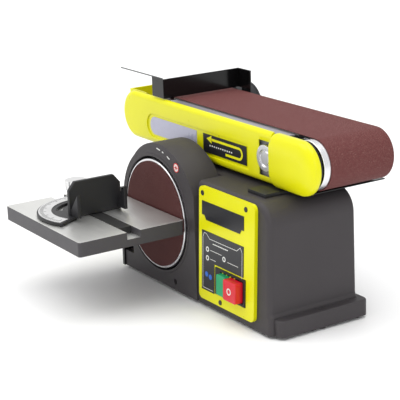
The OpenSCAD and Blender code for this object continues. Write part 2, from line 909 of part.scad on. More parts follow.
module drum_shaft()
    color([0.7, 0.7, 0.72])
        rod(drive_x, arm_z, web_y + 3, pulley_y + pulley_l + 4 - web_y - 3, drum_shaft_r);

module idler_drum()
    color([0.8, 0.8, 0.82])
        drum(idler_x, belt_y - drum_nose, belt_back + 2, 18, 14);

module idler_bearings()
    color("silver") {
        bearing(idler_x, arm_z, belt_y - drum_nose + 2, 10, 14, idler_axle_r + fit);
        bearing(idler_x, arm_z, belt_back - 10, 10, 14, idler_axle_r + fit);
    }

module tension_carriage()
    color([0.1, 0.1, 0.1]) {
        rod(idler_x, arm_z, web_y + 0.5, 5.5, web_r);
        block([block_x, belt_y - 13, arm_z - 20], [idler_x - 20, belt_y - 11, arm_z + 20]);
        block([block_x, belt_y - 13, arm_z - 14], [block_x + 12, rear_y + rear_t, arm_z + 14]);
        block([block_x, rear_y, arm_z - 14], [idler_x, rear_y + rear_t, arm_z + 14]);
        rod(idler_x, arm_z, rear_y, rear_t, 14);
        rod(idler_x, arm_z, web_y + 1, rear_y + rear_t - web_y - 1, idler_axle_r);
        for (y = guide_rods())
            translate([guide_x - 10, y, arm_z])
                rotate([0, 90, 0])
                    cylinder(h = block_x - guide_x + 10 + eps, r = 5);
    }

spring_r = 9;
spring_wire = 1.3;
spring_turns = 6;
spring_l = block_x - guide_x - guide_w;
function spring_ring(t) = [for (a = [0:45:315])
    let(r = spring_r + spring_wire * cos(a), h = spring_wire * sin(a))
    [guide_x + guide_w + spring_wire + (spring_l - 2 * spring_wire) * t + h,
     belt_y + belt_w / 2 + r * cos(360 * spring_turns * t),
     arm_z + r * sin(360 * spring_turns * t)]];

module tension_spring() {
    n = spring_turns * 16;
    pts = [for (i = [0:n]) each spring_ring(i / n)];
    side = [for (i = [0:n - 1]) for (j = [0:7])
        [i * 8 + j, i * 8 + (j + 1) % 8, (i + 1) * 8 + (j + 1) % 8, (i + 1) * 8 + j]];
    ends = [[for (j = [7:-1:0]) j], [for (j = [0:7]) n * 8 + j]];
    color([0.7, 0.7, 0.72])
        polyhedron(pts, concat(side, ends));
}

module tension_lever()
    color([0.1, 0.1, 0.1]) {
        rod(lever_x, arm_z, rear_y - 4, rear_t + 8, 4);
        rod(lever_x, arm_z, rear_y + rear_t + 2, 6, 10);
        slab(rear_y + rear_t + 3, 5)
            capsule([lever_x, arm_z], [lever_x - 48, arm_z], 6);
        rod(lever_x - 48, arm_z, rear_y + rear_t + 3, 16, 7);
    }

module tracking_knob()
    color([0.8, 0.8, 0.82]) {
        difference() {
            rod(knob_track_x, arm_z - 1, cap_y + skin + 0.6, 8, 17.5);
            for (i = [0:39])
                translate([knob_track_x, cap_y + skin - 1, arm_z - 1])
                    rotate([0, i * 9, 0])
                        translate([16.9, 0, -0.5])
                            cube([2, 12, 1]);
            tube(knob_track_x, arm_z - 1, cap_y + skin, 2.5, 12, 8.5);
        }
        rod(knob_track_x, arm_z - 1, cap_y + skin + 8, web_y + web_t - cap_y - skin - 8, 4);
    }

// ---- disc table ----

module disc_table()
    color([0.6, 0.6, 0.62]) {
        difference() {
            translate([table_x, table_y - table_d, table_z - table_t])
                linear_extrude(table_t)
                    round_rect(table_l, table_d, 4);
            block([table_x - 1, slot_y - slot_w / 2, slot_z],
                [table_x + table_l + 1, slot_y + slot_w / 2, table_z + 1]);
            for (i = [0:3])
                for (j = [0:2])
                    if (j != 1)
                        block([table_x + 8 + i * (table_l - 12) / 4, table_y - table_d + 7
                                + j * (table_d - 10) / 3, table_z - table_t - 1],
                            [table_x + 3 + (i + 1) * (table_l - 12) / 4, table_y - table_d + 2
                                + (j + 1) * (table_d - 10) / 3, table_z - 6]);
        }
        trunnion();
    }

module trunnion()
    translate([motor_x - 106, pivot_y, pivot_z])
        rotate([90, 0, 90])
            linear_extrude(5)
                difference() {
                    intersection() {
                        circle(46);
                        translate([-50, -50]) square([100, 50 - 2.9]);
                    }
                    arc_band(27.7, 36.3, 196, 309);
                }

function stud(a) = [pivot_y + 32 * cos(a), pivot_z + 32 * sin(a)];

module table_bracket()
    color([0.07, 0.07, 0.07]) {
        block([motor_x - 100, guard_y - 2, rubber_h], [motor_x - 94, guard_y + 20, pivot_z + 24]);
        block([motor_x - 100, pivot_y - 12, pivot_z - 40], [motor_x - 94, guard_y, pivot_z - 18]);
        for (a = [250, 300])
            translate([motor_x - 109, stud(a)[0], stud(a)[1]])
                rotate([0, 90, 0])
                    cylinder(h = 10, r = 4);
        translate([motor_x - 109, stud(250)[0], stud(250)[1]])
            rotate([0, 90, 0])
                cylinder(h = 2.5, r = 6);
    }

module table_lock_knob()
    color([0.07, 0.07, 0.07])
        translate([motor_x - 126, stud(300)[0], stud(300)[1]])
            rotate([0, 90, 0])
                difference() {
                    union() {
                        cylinder(h = 12, r = 12);
                        cylinder(h = 17, r = 7);
                        for (a = [0:60:300])
                            rotate(a) translate([12, 0, 0]) cylinder(h = 12, r = 3.5);
                    }
                    translate([0, 0, 16]) cylinder(h = 2, r = 4 + fit);
                }

// ---- mitre gauge ----

module mitre_bar()
    color([0.35, 0.35, 0.37])
        difference() {
            union() {
                block([knob_x - 20, slot_y - bar_w / 2, slot_z + gap],
                    [knob_x - 20 + bar_l, slot_y + bar_w / 2, slot_z + gap + bar_t]);
                translate([gauge_x, slot_y, slot_z])
                    cylinder(h = table_z + 0.5 - slot_z, r = 8);
                translate([gauge_x, slot_y, table_z])
                    cylinder(h = 5, r = 4);
                translate([gauge_x, slot_y, table_z + 4.8])
                    cylinder(h = 3, r = 5.6);
            }
            translate([knob_x, slot_y, slot_z - 1])
                cylinder(h = bar_t + 3, r = 4 + fit);
            translate([gauge_x - 9, slot_y - 9, slot_z - 1])
                cube([18, 18, 1 + gap]);
        }

module mitre_head()
    color([0.06, 0.06, 0.07])
        translate([gauge_x, slot_y, table_z + 0.6])
            difference() {
                union() {
                    linear_extrude(4) {
                        intersection() {
                            circle(76);
                            slice(76, 165, 300);
                        }
                        intersection() {
                            circle(53);
                            slice(53, 108, 252);
                        }
                        square_xy([-6, -gauge_l / 2], [8, gauge_l / 2]);
                        circle(12);
                    }
                    rotate([90, 0, 90])
                        translate([0, 0, 6])
                            linear_extrude(6)
                                polygon([[-gauge_l / 2, 0], [gauge_l / 2, 0],
                                    [gauge_l / 2, gauge_h - 12], [gauge_l / 2 - 10, gauge_h],
                                    [-gauge_l / 2 + 10, gauge_h], [-gauge_l / 2, gauge_h - 12]]);
                }
                translate([0, 0, -1]) cylinder(h = 8, r = 4 + fit);
                translate([0, 0, -1]) linear_extrude(8) arc_band(40.7, 49.3, 118, 242);
            }

module mitre_scale()
    color([0.85, 0.85, 0.86])
        translate([gauge_x, slot_y, table_z + 4.6])
            linear_extrude(0.8)
                arc_band(56, 74, 168, 297);

module mitre_knob()
    color([0.85, 0.85, 0.87])
        translate([knob_x, slot_y, 0]) {
            translate([0, 0, slot_z + 1]) cylinder(h = table_z + 6 - slot_z, r = 4);
            translate([0, 0, table_z + 4.8]) cylinder(h = 18, r = 9);
            translate([0, 0, table_z + 22.8])
                difference() {
                    cylinder(h = 14, r = 15);
                    for (a = [0:30:330])
                        rotate(a) translate([15.8, 0, -1]) cylinder(h = 16, r = 2);
                }
        }

base_housing();
disc_guard();
base_plate();
rubber_feet();
base_screws();
arm_rest();
drive_tunnel();
drive_case();
drive_cover();
cover_screws();
cable_gland();
capacitor();
motor_stator();
motor_windings();
motor_bells();
motor_bearings();
motor_shaft();
rotor_core();
cooling_fan();
motor_pulley();
disc_plate();
disc_screw();
sanding_disc();
drive_belt();
control_panel();
panel_screws();
name_plate();
rating_label();
switch_body();
start_button();
stop_button();
arm_frame();
platen();
sanding_belt();
side_cover();
cover_window();
direction_label();
end_cap();
lower_guard();
dust_hood();
stop_fence();
clear_guard();
arm_screws();
drum_bearings();
drive_drum();
drum_shaft();
drum_pulley();
idler_drum();
idler_bearings();
tension_carriage();
tension_spring();
tension_lever();
tracking_knob();
disc_table();
table_bracket();
table_lock_knob();
mitre_bar();
mitre_head();
mitre_scale();
mitre_knob();
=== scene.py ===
"""The looks of a bench belt and disc sander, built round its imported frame."""

import json
import math

import bmesh
import bpy
from bpy.props import FloatProperty, FloatVectorProperty, PointerProperty
from mathutils import Matrix, Vector

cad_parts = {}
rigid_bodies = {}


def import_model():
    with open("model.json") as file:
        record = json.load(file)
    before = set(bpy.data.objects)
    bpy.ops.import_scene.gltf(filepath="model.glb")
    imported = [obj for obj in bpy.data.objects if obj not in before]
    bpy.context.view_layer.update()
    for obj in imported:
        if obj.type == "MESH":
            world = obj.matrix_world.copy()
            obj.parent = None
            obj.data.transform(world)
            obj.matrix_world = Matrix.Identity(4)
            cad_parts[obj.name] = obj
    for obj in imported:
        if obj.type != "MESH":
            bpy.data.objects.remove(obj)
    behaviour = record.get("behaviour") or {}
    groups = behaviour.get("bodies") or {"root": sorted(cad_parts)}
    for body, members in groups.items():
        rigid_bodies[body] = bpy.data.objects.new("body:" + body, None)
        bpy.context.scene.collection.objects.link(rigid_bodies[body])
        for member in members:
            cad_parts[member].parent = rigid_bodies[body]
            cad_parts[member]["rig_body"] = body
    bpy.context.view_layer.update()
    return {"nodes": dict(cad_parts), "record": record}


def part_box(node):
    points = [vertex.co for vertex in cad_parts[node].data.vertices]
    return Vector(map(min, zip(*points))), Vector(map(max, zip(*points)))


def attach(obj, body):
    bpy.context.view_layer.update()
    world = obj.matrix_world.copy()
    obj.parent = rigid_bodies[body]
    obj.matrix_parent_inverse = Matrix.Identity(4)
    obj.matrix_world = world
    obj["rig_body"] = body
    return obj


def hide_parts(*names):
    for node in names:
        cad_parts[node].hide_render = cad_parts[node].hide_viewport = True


bl_info = {
    "name": "Bench sander",
    "version": (1, 0, 0),
    "blender": (4, 5, 0),
    "location": "View3D > Sidebar > Sander",
    "description": "Shells, sheet metal, abrasives and finishes of a belt and disc sander",
    "category": "Add Mesh",
}

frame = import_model()

MM = 0.001
SMOOTH_BELOW = math.radians(38)
FLAT_WITHIN = math.radians(0.8)
X, Y, Z = Vector((1, 0, 0)), Vector((0, 1, 0)), Vector((0, 0, 1))


def low(node):
    """The lowest corner of a CAD node."""
    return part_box(node)[0]


def high(node):
    """The highest corner of a CAD node."""
    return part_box(node)[1]


def middle(node):
    """The middle of a CAD node's box."""
    return (low(node) + high(node)) / 2


# The housing's front stands at LEAN_FOOT on the bench and leans back by LEAN_BACK at LEAN_TOP.
LEAN_FOOT, LEAN_BACK, LEAN_TOP = -78 * MM, 7 * MM, 172 * MM
LEAN = math.atan2(LEAN_BACK, LEAN_TOP)
DISC = middle("sanding_disc")
IDLER = middle("idler_drum")


# ---- finishes -------------------------------------------------------------

class Value:
    """A node's output that takes part in arithmetic by adding Math nodes."""

    def __init__(self, finish, socket):
        self.finish = finish
        self.socket = socket

    def worked(self, operation, first, second):
        """The result of a Math node."""
        return self.finish.add("ShaderNodeMath", {"operation": operation}, {0: first, 1: second})

    def __add__(self, other):
        return self.worked("ADD", self, other)

    def __radd__(self, other):
        return self.worked("ADD", other, self)

    def __sub__(self, other):
        return self.worked("SUBTRACT", self, other)

    def __rsub__(self, other):
        return self.worked("SUBTRACT", other, self)

    def __mul__(self, other):
        return self.worked("MULTIPLY", self, other)

    def __rmul__(self, other):
        return self.worked("MULTIPLY", other, self)

    def __gt__(self, other):
        return self.worked("GREATER_THAN", self, other)

    def __pow__(self, other):
        return self.worked("POWER", self, other)


class Finish:
    """A material being made. Every node in it comes from add()."""

    def __init__(self, name):
        self.material = bpy.data.materials.new(name)
        self.material.use_nodes = True
        self.tree = self.material.node_tree
        self.tree.nodes.clear()
        self.place = self.add("ShaderNodeTexCoord", out="Object")

    def add(self, kind, settings=None, inputs=None, out=0):
        """Adds a node, sets it up, fills its sockets and returns one of its outputs."""
        node = self.tree.nodes.new(kind)
        for key, value in (settings or {}).items():
            setattr(node, key, value)
        for key, value in (inputs or {}).items():
            if isinstance(value, Value):
                self.tree.links.new(value.socket, node.inputs[key])
            else:
                node.inputs[key].default_value = value
        return Value(self, node.outputs[out]) if node.outputs else None

    def noise(self, scale, detail=4.0, rough=0.5, stretch=None):
        """Noise on the piece's own coordinates, stretched along an axis if asked."""
        place = self.moved(stretch) if stretch else self.place
        return self.add("ShaderNodeTexNoise", {}, {
            "Vector": place, "Scale": scale, "Detail": detail, "Roughness": rough}, out="Fac")

    def moved(self, stretch, centre=(0, 0, 0)):
        """The piece's coordinates measured from a centre and then scaled."""
        offset = [-c * s for c, s in zip(centre, stretch)]
        return self.add("ShaderNodeMapping", {}, {
            "Vector": self.place, "Location": offset, "Scale": stretch}, out="Vector")

    def mix(self, factor, first, second):
        """A colour between two colours."""
        return self.add("ShaderNodeMix", {"data_type": "RGBA"}, {
            0: factor, 6: rgba(first), 7: rgba(second)}, out=2)

    def bump(self, height, strength, distance, under=None):
        """A normal raised by a height, on top of another normal if one is given."""
        inputs = {"Height": height, "Strength": strength, "Distance": distance}
        if under:
            inputs["Normal"] = under
        return self.add("ShaderNodeBump", {}, inputs, out="Normal")

    def surface(self, **inputs):
        """Ends the material with one shader whose sockets are filled by name."""
        named = {key.replace("_", " "): rgba(value) if "Color" in key else value
                 for key, value in inputs.items()}
        shader = self.add("ShaderNodeBsdfPrincipled", {}, named, out="BSDF")
        self.add("ShaderNodeOutputMaterial", {}, {"Surface": shader})
        return self.material


def rgba(colour):
    """A colour for a socket, whether it's three numbers or a link."""
    if isinstance(colour, Value):
        return colour
    return (*colour[:3], 1.0)


def shade(colour, by):
    """A colour made darker or lighter."""
    return tuple(min(1.0, c * by) for c in colour[:3])


def moulded(name, colour, roughness, grain=0.12, grain_size=1100.0, coat=0.0):
    """Moulded plastic: spark-eroded grain, faint flow marks and patchy gloss."""
    f = Finish(name)
    grains = f.noise(grain_size, 2.0, 0.6)
    clouds = f.noise(14.0, 3.0)
    smears = f.noise(55.0, 5.0, 0.65)
    tint = f.mix(clouds * 0.7 + grains * 0.3, shade(colour, 0.86), shade(colour, 1.12))
    return f.surface(
        Base_Color=tint,
        Roughness=smears * 0.16 + (roughness - 0.08),
        Coat_Weight=coat,
        Coat_Roughness=0.18,
        Specular_IOR_Level=0.3,
        Normal=f.bump(grains, grain, 0.0004, f.bump(clouds, 0.05, 0.002)))


def milled(name, colour, roughness, along, streak=0.25):
    """Metal brushed along an axis, with long fine streaks."""
    f = Finish(name)
    stretch = tuple(0.02 if a else 1.0 for a in along)
    streaks = f.noise(1600.0, 3.0, 0.7, stretch)
    broad = f.noise(260.0, 2.0, 0.5, stretch)
    clouds = f.noise(22.0, 3.0)
    tint = f.mix(streaks * 0.6 + clouds * 0.4, shade(colour, 0.82), shade(colour, 1.15))
    return f.surface(
        Base_Color=tint,
        Metallic=1.0,
        Roughness=streaks * streak + broad * 0.1 + (roughness - 0.15),
        Normal=f.bump(streaks, 0.12, 0.0003))


def turned(name, colour, roughness, centre, face_on=True):
    """Metal turned about a Y axis: rings round the axis on a face, or bands along a barrel."""
    f = Finish(name)
    spread = f.moved((1, 1, 1), centre)
    apart = f.add("ShaderNodeSeparateXYZ", {}, {"Vector": spread}, out="X").socket.node.outputs
    x, y, z = (Value(f, apart[axis]) for axis in "XYZ")
    radius = (x * x + z * z) ** 0.5
    line = radius if face_on else y
    rings = f.add("ShaderNodeTexNoise", {"noise_dimensions": "1D"}, {
        "W": line * 900.0, "Scale": 1.0, "Detail": 5.0, "Roughness": 0.7}, out="Fac")
    clouds = f.noise(30.0, 3.0)
    tint = f.mix(rings * 0.7 + clouds * 0.3, shade(colour, 0.8), shade(colour, 1.15))
    return f.surface(
        Base_Color=tint,
        Metallic=1.0,
        Roughness=rings * 0.2 + (roughness - 0.1),
        Normal=f.bump(rings, 0.2, 0.0002))


def cast(name, colour, roughness):
    """Die-cast metal with a dull, slightly pitted skin."""
    f = Finish(name)
    pits = f.noise(700.0, 4.0, 0.6)
    clouds = f.noise(35.0, 4.0)
    tint = f.mix(clouds, shade(colour, 0.78), shade(colour, 1.12))
    return f.surface(
        Base_Color=tint, Metallic=0.9, Roughness=clouds * 0.2 + (roughness - 0.1),
        Normal=f.bump(pits, 0.2, 0.0003))


def painted(name, colour, roughness, coat=0.6, peel=0.06):
    """Sheet metal under gloss paint with a faint orange peel."""
    f = Finish(name)
    ripple = f.noise(320.0, 2.0)
    dust = f.noise(2400.0, 3.0, 0.7)
    clouds = f.noise(18.0, 3.0)
    tint = f.mix(dust > 0.66, shade(colour, 1.0), shade(colour, 1.6))
    return f.surface(
        Base_Color=tint,
        Roughness=clouds * 0.14 + (roughness - 0.07),
        Coat_Weight=coat,
        Coat_Roughness=0.08,
        Specular_IOR_Level=0.25,
        Normal=f.bump(ripple, peel, 0.001))


def abrasive(name, colour, grit=1400.0):
    """Resin-bonded grit on cloth: packed grains, pale flecks and worn patches."""
    f = Finish(name)
    grains = f.add("ShaderNodeTexVoronoi", {"feature": "F1"}, {
        "Vector": f.place, "Scale": grit, "Randomness": 1.0}, out="Distance")
    flecks = f.noise(grit * 0.8, 2.0, 0.8)
    clouds = f.noise(26.0, 5.0, 0.6)
    body = f.mix(grains * 1.3, shade(colour, 1.35), shade(colour, 0.55))
    patched = f.mix(clouds * 0.55, body, shade(colour, 0.8))
    tint = f.mix((flecks > 0.63) * 0.55, patched, (0.42, 0.27, 0.24))
    return f.surface(
        Base_Color=tint, Roughness=grains * 0.25 + 0.62, Specular_IOR_Level=0.15,
        Normal=f.bump(grains + flecks * 0.6, 0.55, 0.0006))


def film(name, colour, roughness=0.3):
    """Printed film: nearly flat, with a trace of dust and handling marks."""
    f = Finish(name)
    smears = f.noise(60.0, 5.0, 0.65)
    weave = f.noise(1800.0, 2.0)
    tint = f.mix(smears, shade(colour, 0.88), shade(colour, 1.15))
    return f.surface(
        Base_Color=tint, Roughness=smears * 0.2 + (roughness - 0.1),
        Normal=f.bump(weave, 0.05, 0.0002))


def rubber(name, colour):
    """Matt rubber with a fine open grain."""
    f = Finish(name)
    grains = f.noise(900.0, 3.0, 0.7)
    tint = f.mix(grains, shade(colour, 0.7), shade(colour, 1.5))
    return f.surface(Base_Color=tint, Roughness=grains * 0.15 + 0.7,
                     Normal=f.bump(grains, 0.3, 0.0004))


def clear_sheet(name):
    """Clear polycarbonate, faintly scuffed."""
    f = Finish(name)
    scuffs = f.noise(420.0, 5.0, 0.7, (1, 0.15, 1))
    return f.surface(
        Base_Color=(0.93, 0.95, 0.96), Roughness=scuffs * 0.1 + 0.02,
        Alpha=scuffs * 0.05 + 0.05, IOR=1.45, Normal=f.bump(scuffs, 0.03, 0.0002))


def wound(name, colour):
    """Lacquered winding wire laid round the motor's axis."""
    f = Finish(name)
    strands = f.add("ShaderNodeTexWave", {"wave_type": "RINGS", "rings_direction": "Y"}, {
        "Vector": f.moved((1, 1, 1), DISC), "Scale": 240.0, "Distortion": 0.6}, out="Fac")
    tint = f.mix(strands, shade(colour, 0.45), shade(colour, 1.2))
    return f.surface(Base_Color=tint, Metallic=0.8, Roughness=strands * 0.2 + 0.25,
                     Normal=f.bump(strands, 0.6, 0.0006))


class SanderColours(bpy.types.PropertyGroup):
    """Colours that a maker would choose."""

    housing: FloatVectorProperty(
        name="Housing", description="Grained plastic of the base and the disc guard",
        subtype="COLOR", size=3, min=0, max=1, default=(0.046, 0.041, 0.044))
    accent: FloatVectorProperty(
        name="Accent", description="Bright plastic of the covers and the panel",
        subtype="COLOR", size=3, min=0, max=1, default=(0.72, 0.70, 0.0))
    grit: FloatVectorProperty(
        name="Abrasive", description="Resin and grit of the belt and the disc",
        subtype="COLOR", size=3, min=0, max=1, default=(0.165, 0.052, 0.050))
    start: FloatVectorProperty(
        name="Start button", description="Colour of the start button",
        subtype="COLOR", size=3, min=0, max=1, default=(0.01, 0.30, 0.12))
    stop: FloatVectorProperty(
        name="Stop button", description="Colour of the stop button",
        subtype="COLOR", size=3, min=0, max=1, default=(0.62, 0.008, 0.022))


class SanderSizes(bpy.types.PropertyGroup):
    """Sizes of the roundings and details that the frame leaves open."""

    housing_round: FloatProperty(
        name="Housing rounding", description="Radius round the housing's front face",
        unit="LENGTH", min=0.002, max=0.012, default=0.007)
    shoulder: FloatProperty(
        name="Shoulder", description="Radius of the housing's upper right corner",
        unit="LENGTH", min=0.01, max=0.04, default=0.03)
    dome_round: FloatProperty(
        name="Dome rounding", description="How far in from its edge the end cap goes on rising",
        unit="LENGTH", min=0.01, max=0.03, default=0.028)
    dome_power: FloatProperty(
        name="Dome fullness", description="Higher values make the end cap squarer at its edge",
        min=1.5, max=4, default=2.4)
    cover_round: FloatProperty(
        name="Cover rounding", description="Width of the side cover's rounded rim",
        unit="LENGTH", min=0.001, max=0.008, default=0.0075)
    cover_depth: FloatProperty(
        name="Cover rim depth", description="Depth of the side cover's rounded rim",
        unit="LENGTH", min=0.001, max=0.008, default=0.0055)
    skin: FloatProperty(
        name="Skin", description="Wall of the moulded covers",
        unit="LENGTH", min=0.0015, max=0.003, default=0.0022)


class Finishes:
    """The object's finishes, made once and read by the names of the record's slots."""

    made = {}

    @classmethod
    def make(cls, colours):
        lime = tuple(colours.accent)
        dark = tuple(colours.housing)
        grit = tuple(colours.grit)
        cls.made = {
            "dark_housing": moulded("Grained_Housing", dark, 0.52, 0.35, 1300.0),
            "lime_plastic": moulded("Accent_Plastic", lime, 0.3, 0.05, 900.0, 0.08),
            "black_plastic": moulded("Black_Plastic", (0.018, 0.018, 0.02), 0.42, 0.15),
            "pale_plastic": moulded("Pale_Plastic", (0.7, 0.7, 0.69), 0.4, 0.06),
            "green_plastic": moulded("Start_Plastic", tuple(colours.start), 0.25, 0.04, coat=0.4),
            "red_plastic": moulded("Stop_Plastic", tuple(colours.stop), 0.25, 0.04, coat=0.4),
            "rubber": rubber("Rubber", (0.022, 0.022, 0.023)),
            "plain_steel": milled("Plain_Steel", (0.46, 0.46, 0.48), 0.38, (1, 0, 0)),
            "bright_steel": milled("Bright_Steel", (0.62, 0.62, 0.64), 0.25, (0, 1, 0), 0.12),
            "dark_steel": painted("Blackened_Steel", (0.03, 0.03, 0.03), 0.35, 0.1),
            "black_steel": painted("Gloss_Black_Sheet", (0.004, 0.004, 0.0045), 0.2, 0.15),
            "grey_steel": painted("Grey_Sheet", (0.23, 0.225, 0.25), 0.35, 0.3),
            "table_paint": moulded("Table_Paint", (0.058, 0.055, 0.06), 0.42, 0.3, 800.0),
            "copper": wound("Winding_Wire", (0.75, 0.32, 0.13)),
            "cast_aluminium": cast("Cast_Aluminium", (0.55, 0.55, 0.56), 0.42),
            "table_top": milled("Milled_Table", (0.78, 0.78, 0.76), 0.42, (1, 0, 0), 0.2),
            "bright_aluminium": turned("Turned_Drum", (0.82, 0.82, 0.84), 0.27, IDLER, False),
            "disc_rim": turned("Turned_Disc", (0.8, 0.8, 0.82), 0.3, DISC),
            "abrasive": abrasive("Belt_Grit", grit),
            "disc_grit": abrasive("Disc_Grit", shade(grit, 0.55), 1100.0),
            "label_black": film("Black_Film", (0.011, 0.011, 0.014), 0.32),
            "label_grey": film("Grey_Film", (0.42, 0.42, 0.53), 0.3),
            "label_pale": film("Pale_Print", (0.72, 0.73, 0.7), 0.4),
            "label_lime": film("Accent_Print", lime, 0.4),
            "label_red": film("Red_Print", (0.6, 0.03, 0.03), 0.4),
            "label_blue": film("Blue_Print", (0.02, 0.12, 0.5), 0.4),
            "clear_plastic": clear_sheet("Clear_Sheet"),
            # Painted shade: a dark film that stands in for the dark look of the clear plate's front
            # edge.
            "painted_shade_edge": film("Painted_Shade_Sheet_Edge", (0.015, 0.016, 0.018), 0.2),
            "pale_metal": cast("Pale_Metal", (0.8, 0.8, 0.8), 0.35),
        }

    @classmethod
    def get(cls, name):
        return cls.made[name]


# ---- modelling ------------------------------------------------------------

def build(name, bm, finishes, body, stands_for=(), flat=False):
    """Makes an object of a bmesh, gives it finishes, and lets it ride on a body."""
    for edge in bm.edges:
        if len(edge.link_faces) == 2:
            edge.smooth = edge.calc_face_angle(0.0) < SMOOTH_BELOW
    for face in bm.faces:
        face.smooth = not flat
    mesh = bpy.data.meshes.new(name)
    bm.to_mesh(mesh)
    bm.free()
    piece = bpy.data.objects.new(name, mesh)
    bpy.context.scene.collection.objects.link(piece)
    for finish in finishes:
        mesh.materials.append(Finishes.get(finish))
    if not flat:
        weighted = piece.modifiers.new("Even shading", "WEIGHTED_NORMAL")
        weighted.keep_sharp = True
    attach(piece, body)
    if stands_for:
        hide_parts(*stands_for)
    return piece


def merged(node):
    """A bmesh copy of a CAD node with its loose triangles joined into clean faces."""
    bm = bmesh.new()
    bm.from_mesh(frame["nodes"][node].data)
    bmesh.ops.remove_doubles(bm, verts=bm.verts, dist=2e-6)
    bmesh.ops.dissolve_limit(
        bm, angle_limit=FLAT_WITHIN, use_dissolve_boundaries=False,
        verts=bm.verts, edges=bm.edges, delimit=set())
    return bm


def round_edges(bm, edges, width, segments):
    """Rounds edges with a plain circular bevel."""
    if edges:
        bmesh.ops.bevel(
            bm, geom=edges, offset=width, offset_type="OFFSET", segments=segments,
            profile=0.5, affect="EDGES", clamp_overlap=True, material=-1)


def sharp_edges(bm, angle=35, test=None):
    """The outward corners sharper than an angle that pass a test of their middle."""
    found = []
    for edge in bm.edges:
        if len(edge.link_faces) != 2 or not edge.is_convex:
            continue
        if edge.calc_face_angle(0.0) < math.radians(angle):
            continue
        if test is None or test((edge.verts[0].co + edge.verts[1].co) / 2):
            found.append(edge)
    return found


def softened(node, width, segments=2, stages=()):
    """Stands a copy with rounded edges in place of a CAD node.

    Stages come before it, each with a test of which edges it rounds, or None for all.
    """
    bm = merged(node)
    for test, stage_width, stage_segments in stages:
        round_edges(bm, sharp_edges(bm, test=test), stage_width, stage_segments)
    round_edges(bm, sharp_edges(bm), width, segments)
    body = frame["nodes"][node]["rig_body"]
    return build(node + "_shell", bm, [slot_of(node)], body, (node,))


def slot_of(node):
    """The record's material slot of a CAD node."""
    return next(s["material_slot"] for s in frame["record"]["subparts"] if s["node"] == node)


def skinned(rings):
    """Bridges loops of points one after another, and closes the last."""
    bm = bmesh.new()
    loops = []
    for ring in rings:
        verts = [bm.verts.new(point) for point in ring]
        loops.append([bm.edges.new((verts[i - 1], verts[i])) for i in range(len(verts))])
    for first, second in zip(loops, loops[1:]):
        bmesh.ops.bridge_loops(bm, edges=first + second)
    bmesh.ops.contextual_create(bm, geom=loops[-1])
    return bm


def arc(centre, radius, start, end, steps):
    """Points round part of a circle in X and Z, by angle from +X towards +Z."""
    return [(centre[0] + radius * math.cos(math.radians(start + (end - start) * i / steps)),
             centre[1] + radius * math.sin(math.radians(start + (end - start) * i / steps)))
            for i in range(steps + 1)]


def crown(steps, power):
    """Shares of inset and of height that run over a rounded rim."""
    for step in range(steps + 1):
        inset = 1 - math.cos(math.pi / 2 * step / steps)
        yield inset, (1 - max(0.0, 1 - inset) ** power) ** (1 / power)


def walled(piece, thickness):
    """Gives a skin its wall, on the inside."""
    wall = piece.modifiers.new("Wall", "SOLIDIFY")
    wall.thickness = thickness
    wall.offset = -1
    piece.modifiers.move(len(piece.modifiers) - 1, 0)


def facing_out(bm, way):
    """Turns an open skin so that its faces look along a direction."""
    bmesh.ops.recalc_face_normals(bm, faces=bm.faces)
    if sum(face.normal.dot(way) * face.calc_area() for face in bm.faces) < 0:
        bmesh.ops.reverse_faces(bm, faces=bm.faces)


def split_at(bm, place, way):
    """Cuts every face along a plane and keeps both sides."""
    bmesh.ops.bisect_plane(bm, geom=bm.verts[:] + bm.edges[:] + bm.faces[:], dist=1e-6,
                           plane_co=place, plane_no=way)


def thicken(bm, depth, along=Y):
    """Extrudes every face of a flat drawing along a direction and closes it."""
    faces = bm.faces[:]
    grown = bmesh.ops.extrude_face_region(bm, geom=faces, use_keep_orig=True)
    moved = [g for g in grown["geom"] if isinstance(g, bmesh.types.BMVert)]
    bmesh.ops.translate(bm, vec=along * depth, verts=moved)
    bmesh.ops.recalc_face_normals(bm, faces=bm.faces)
    return bm


def box_into(bm, corner_a, corner_b):
    """Adds a box between two corners to a bmesh and returns its vertices."""
    a, b = Vector(corner_a), Vector(corner_b)
    size = b - a
    place = Matrix.Translation((a + b) / 2) @ Matrix.Diagonal((*size, 1.0))
    return bmesh.ops.create_cube(bm, size=1.0, matrix=place)["verts"]


def disc_into(bm, centre, radius, depth, facing=Y, steps=48, inner=0.0):
    """Adds a disc, or a ring where inner is given, whose axis is a direction."""
    turn = facing.to_track_quat("Z", "Y").to_matrix().to_4x4()
    place = Matrix.Translation(Vector(centre)) @ turn
    if not inner:
        made = bmesh.ops.create_cone(
            bm, cap_ends=True, segments=steps, radius1=radius, radius2=radius, depth=depth,
            matrix=place)
        return made["verts"]
    before = set(bm.verts)
    section = [bm.verts.new((r, 0, h)) for r, h in (
        (inner, -depth / 2), (radius, -depth / 2), (radius, depth / 2), (inner, depth / 2))]
    edges = [bm.edges.new((section[i], section[(i + 1) % 4])) for i in range(4)]
    bmesh.ops.spin(
        bm, geom=section + edges, cent=(0, 0, 0), axis=(0, 0, 1), angle=math.tau, steps=steps,
        use_merge=True)
    made = [vert for vert in bm.verts if vert not in before]
    bmesh.ops.transform(bm, matrix=place, verts=made)
    return made


def ring_round_disc(y, section):
    """A ring turned about the disc's axis, from radii and depths in mm behind y."""
    bm = bmesh.new()
    verts = [bm.verts.new((DISC.x + r * MM, y + deep * MM, DISC.z)) for r, deep in section]
    edges = [bm.edges.new((verts[i - 1], verts[i])) for i in range(len(verts))]
    bmesh.ops.spin(bm, geom=verts + edges, cent=(DISC.x, y, DISC.z), axis=(0, 1, 0),
                   angle=math.tau, steps=128, use_merge=True)
    return finish_mesh(bm)


def finish_mesh(bm):
    """Merges doubles and turns every face outwards."""
    bmesh.ops.remove_doubles(bm, verts=bm.verts, dist=1e-7)
    bmesh.ops.recalc_face_normals(bm, faces=bm.faces)
    return bm


# ---- operators ------------------------------------------------------------

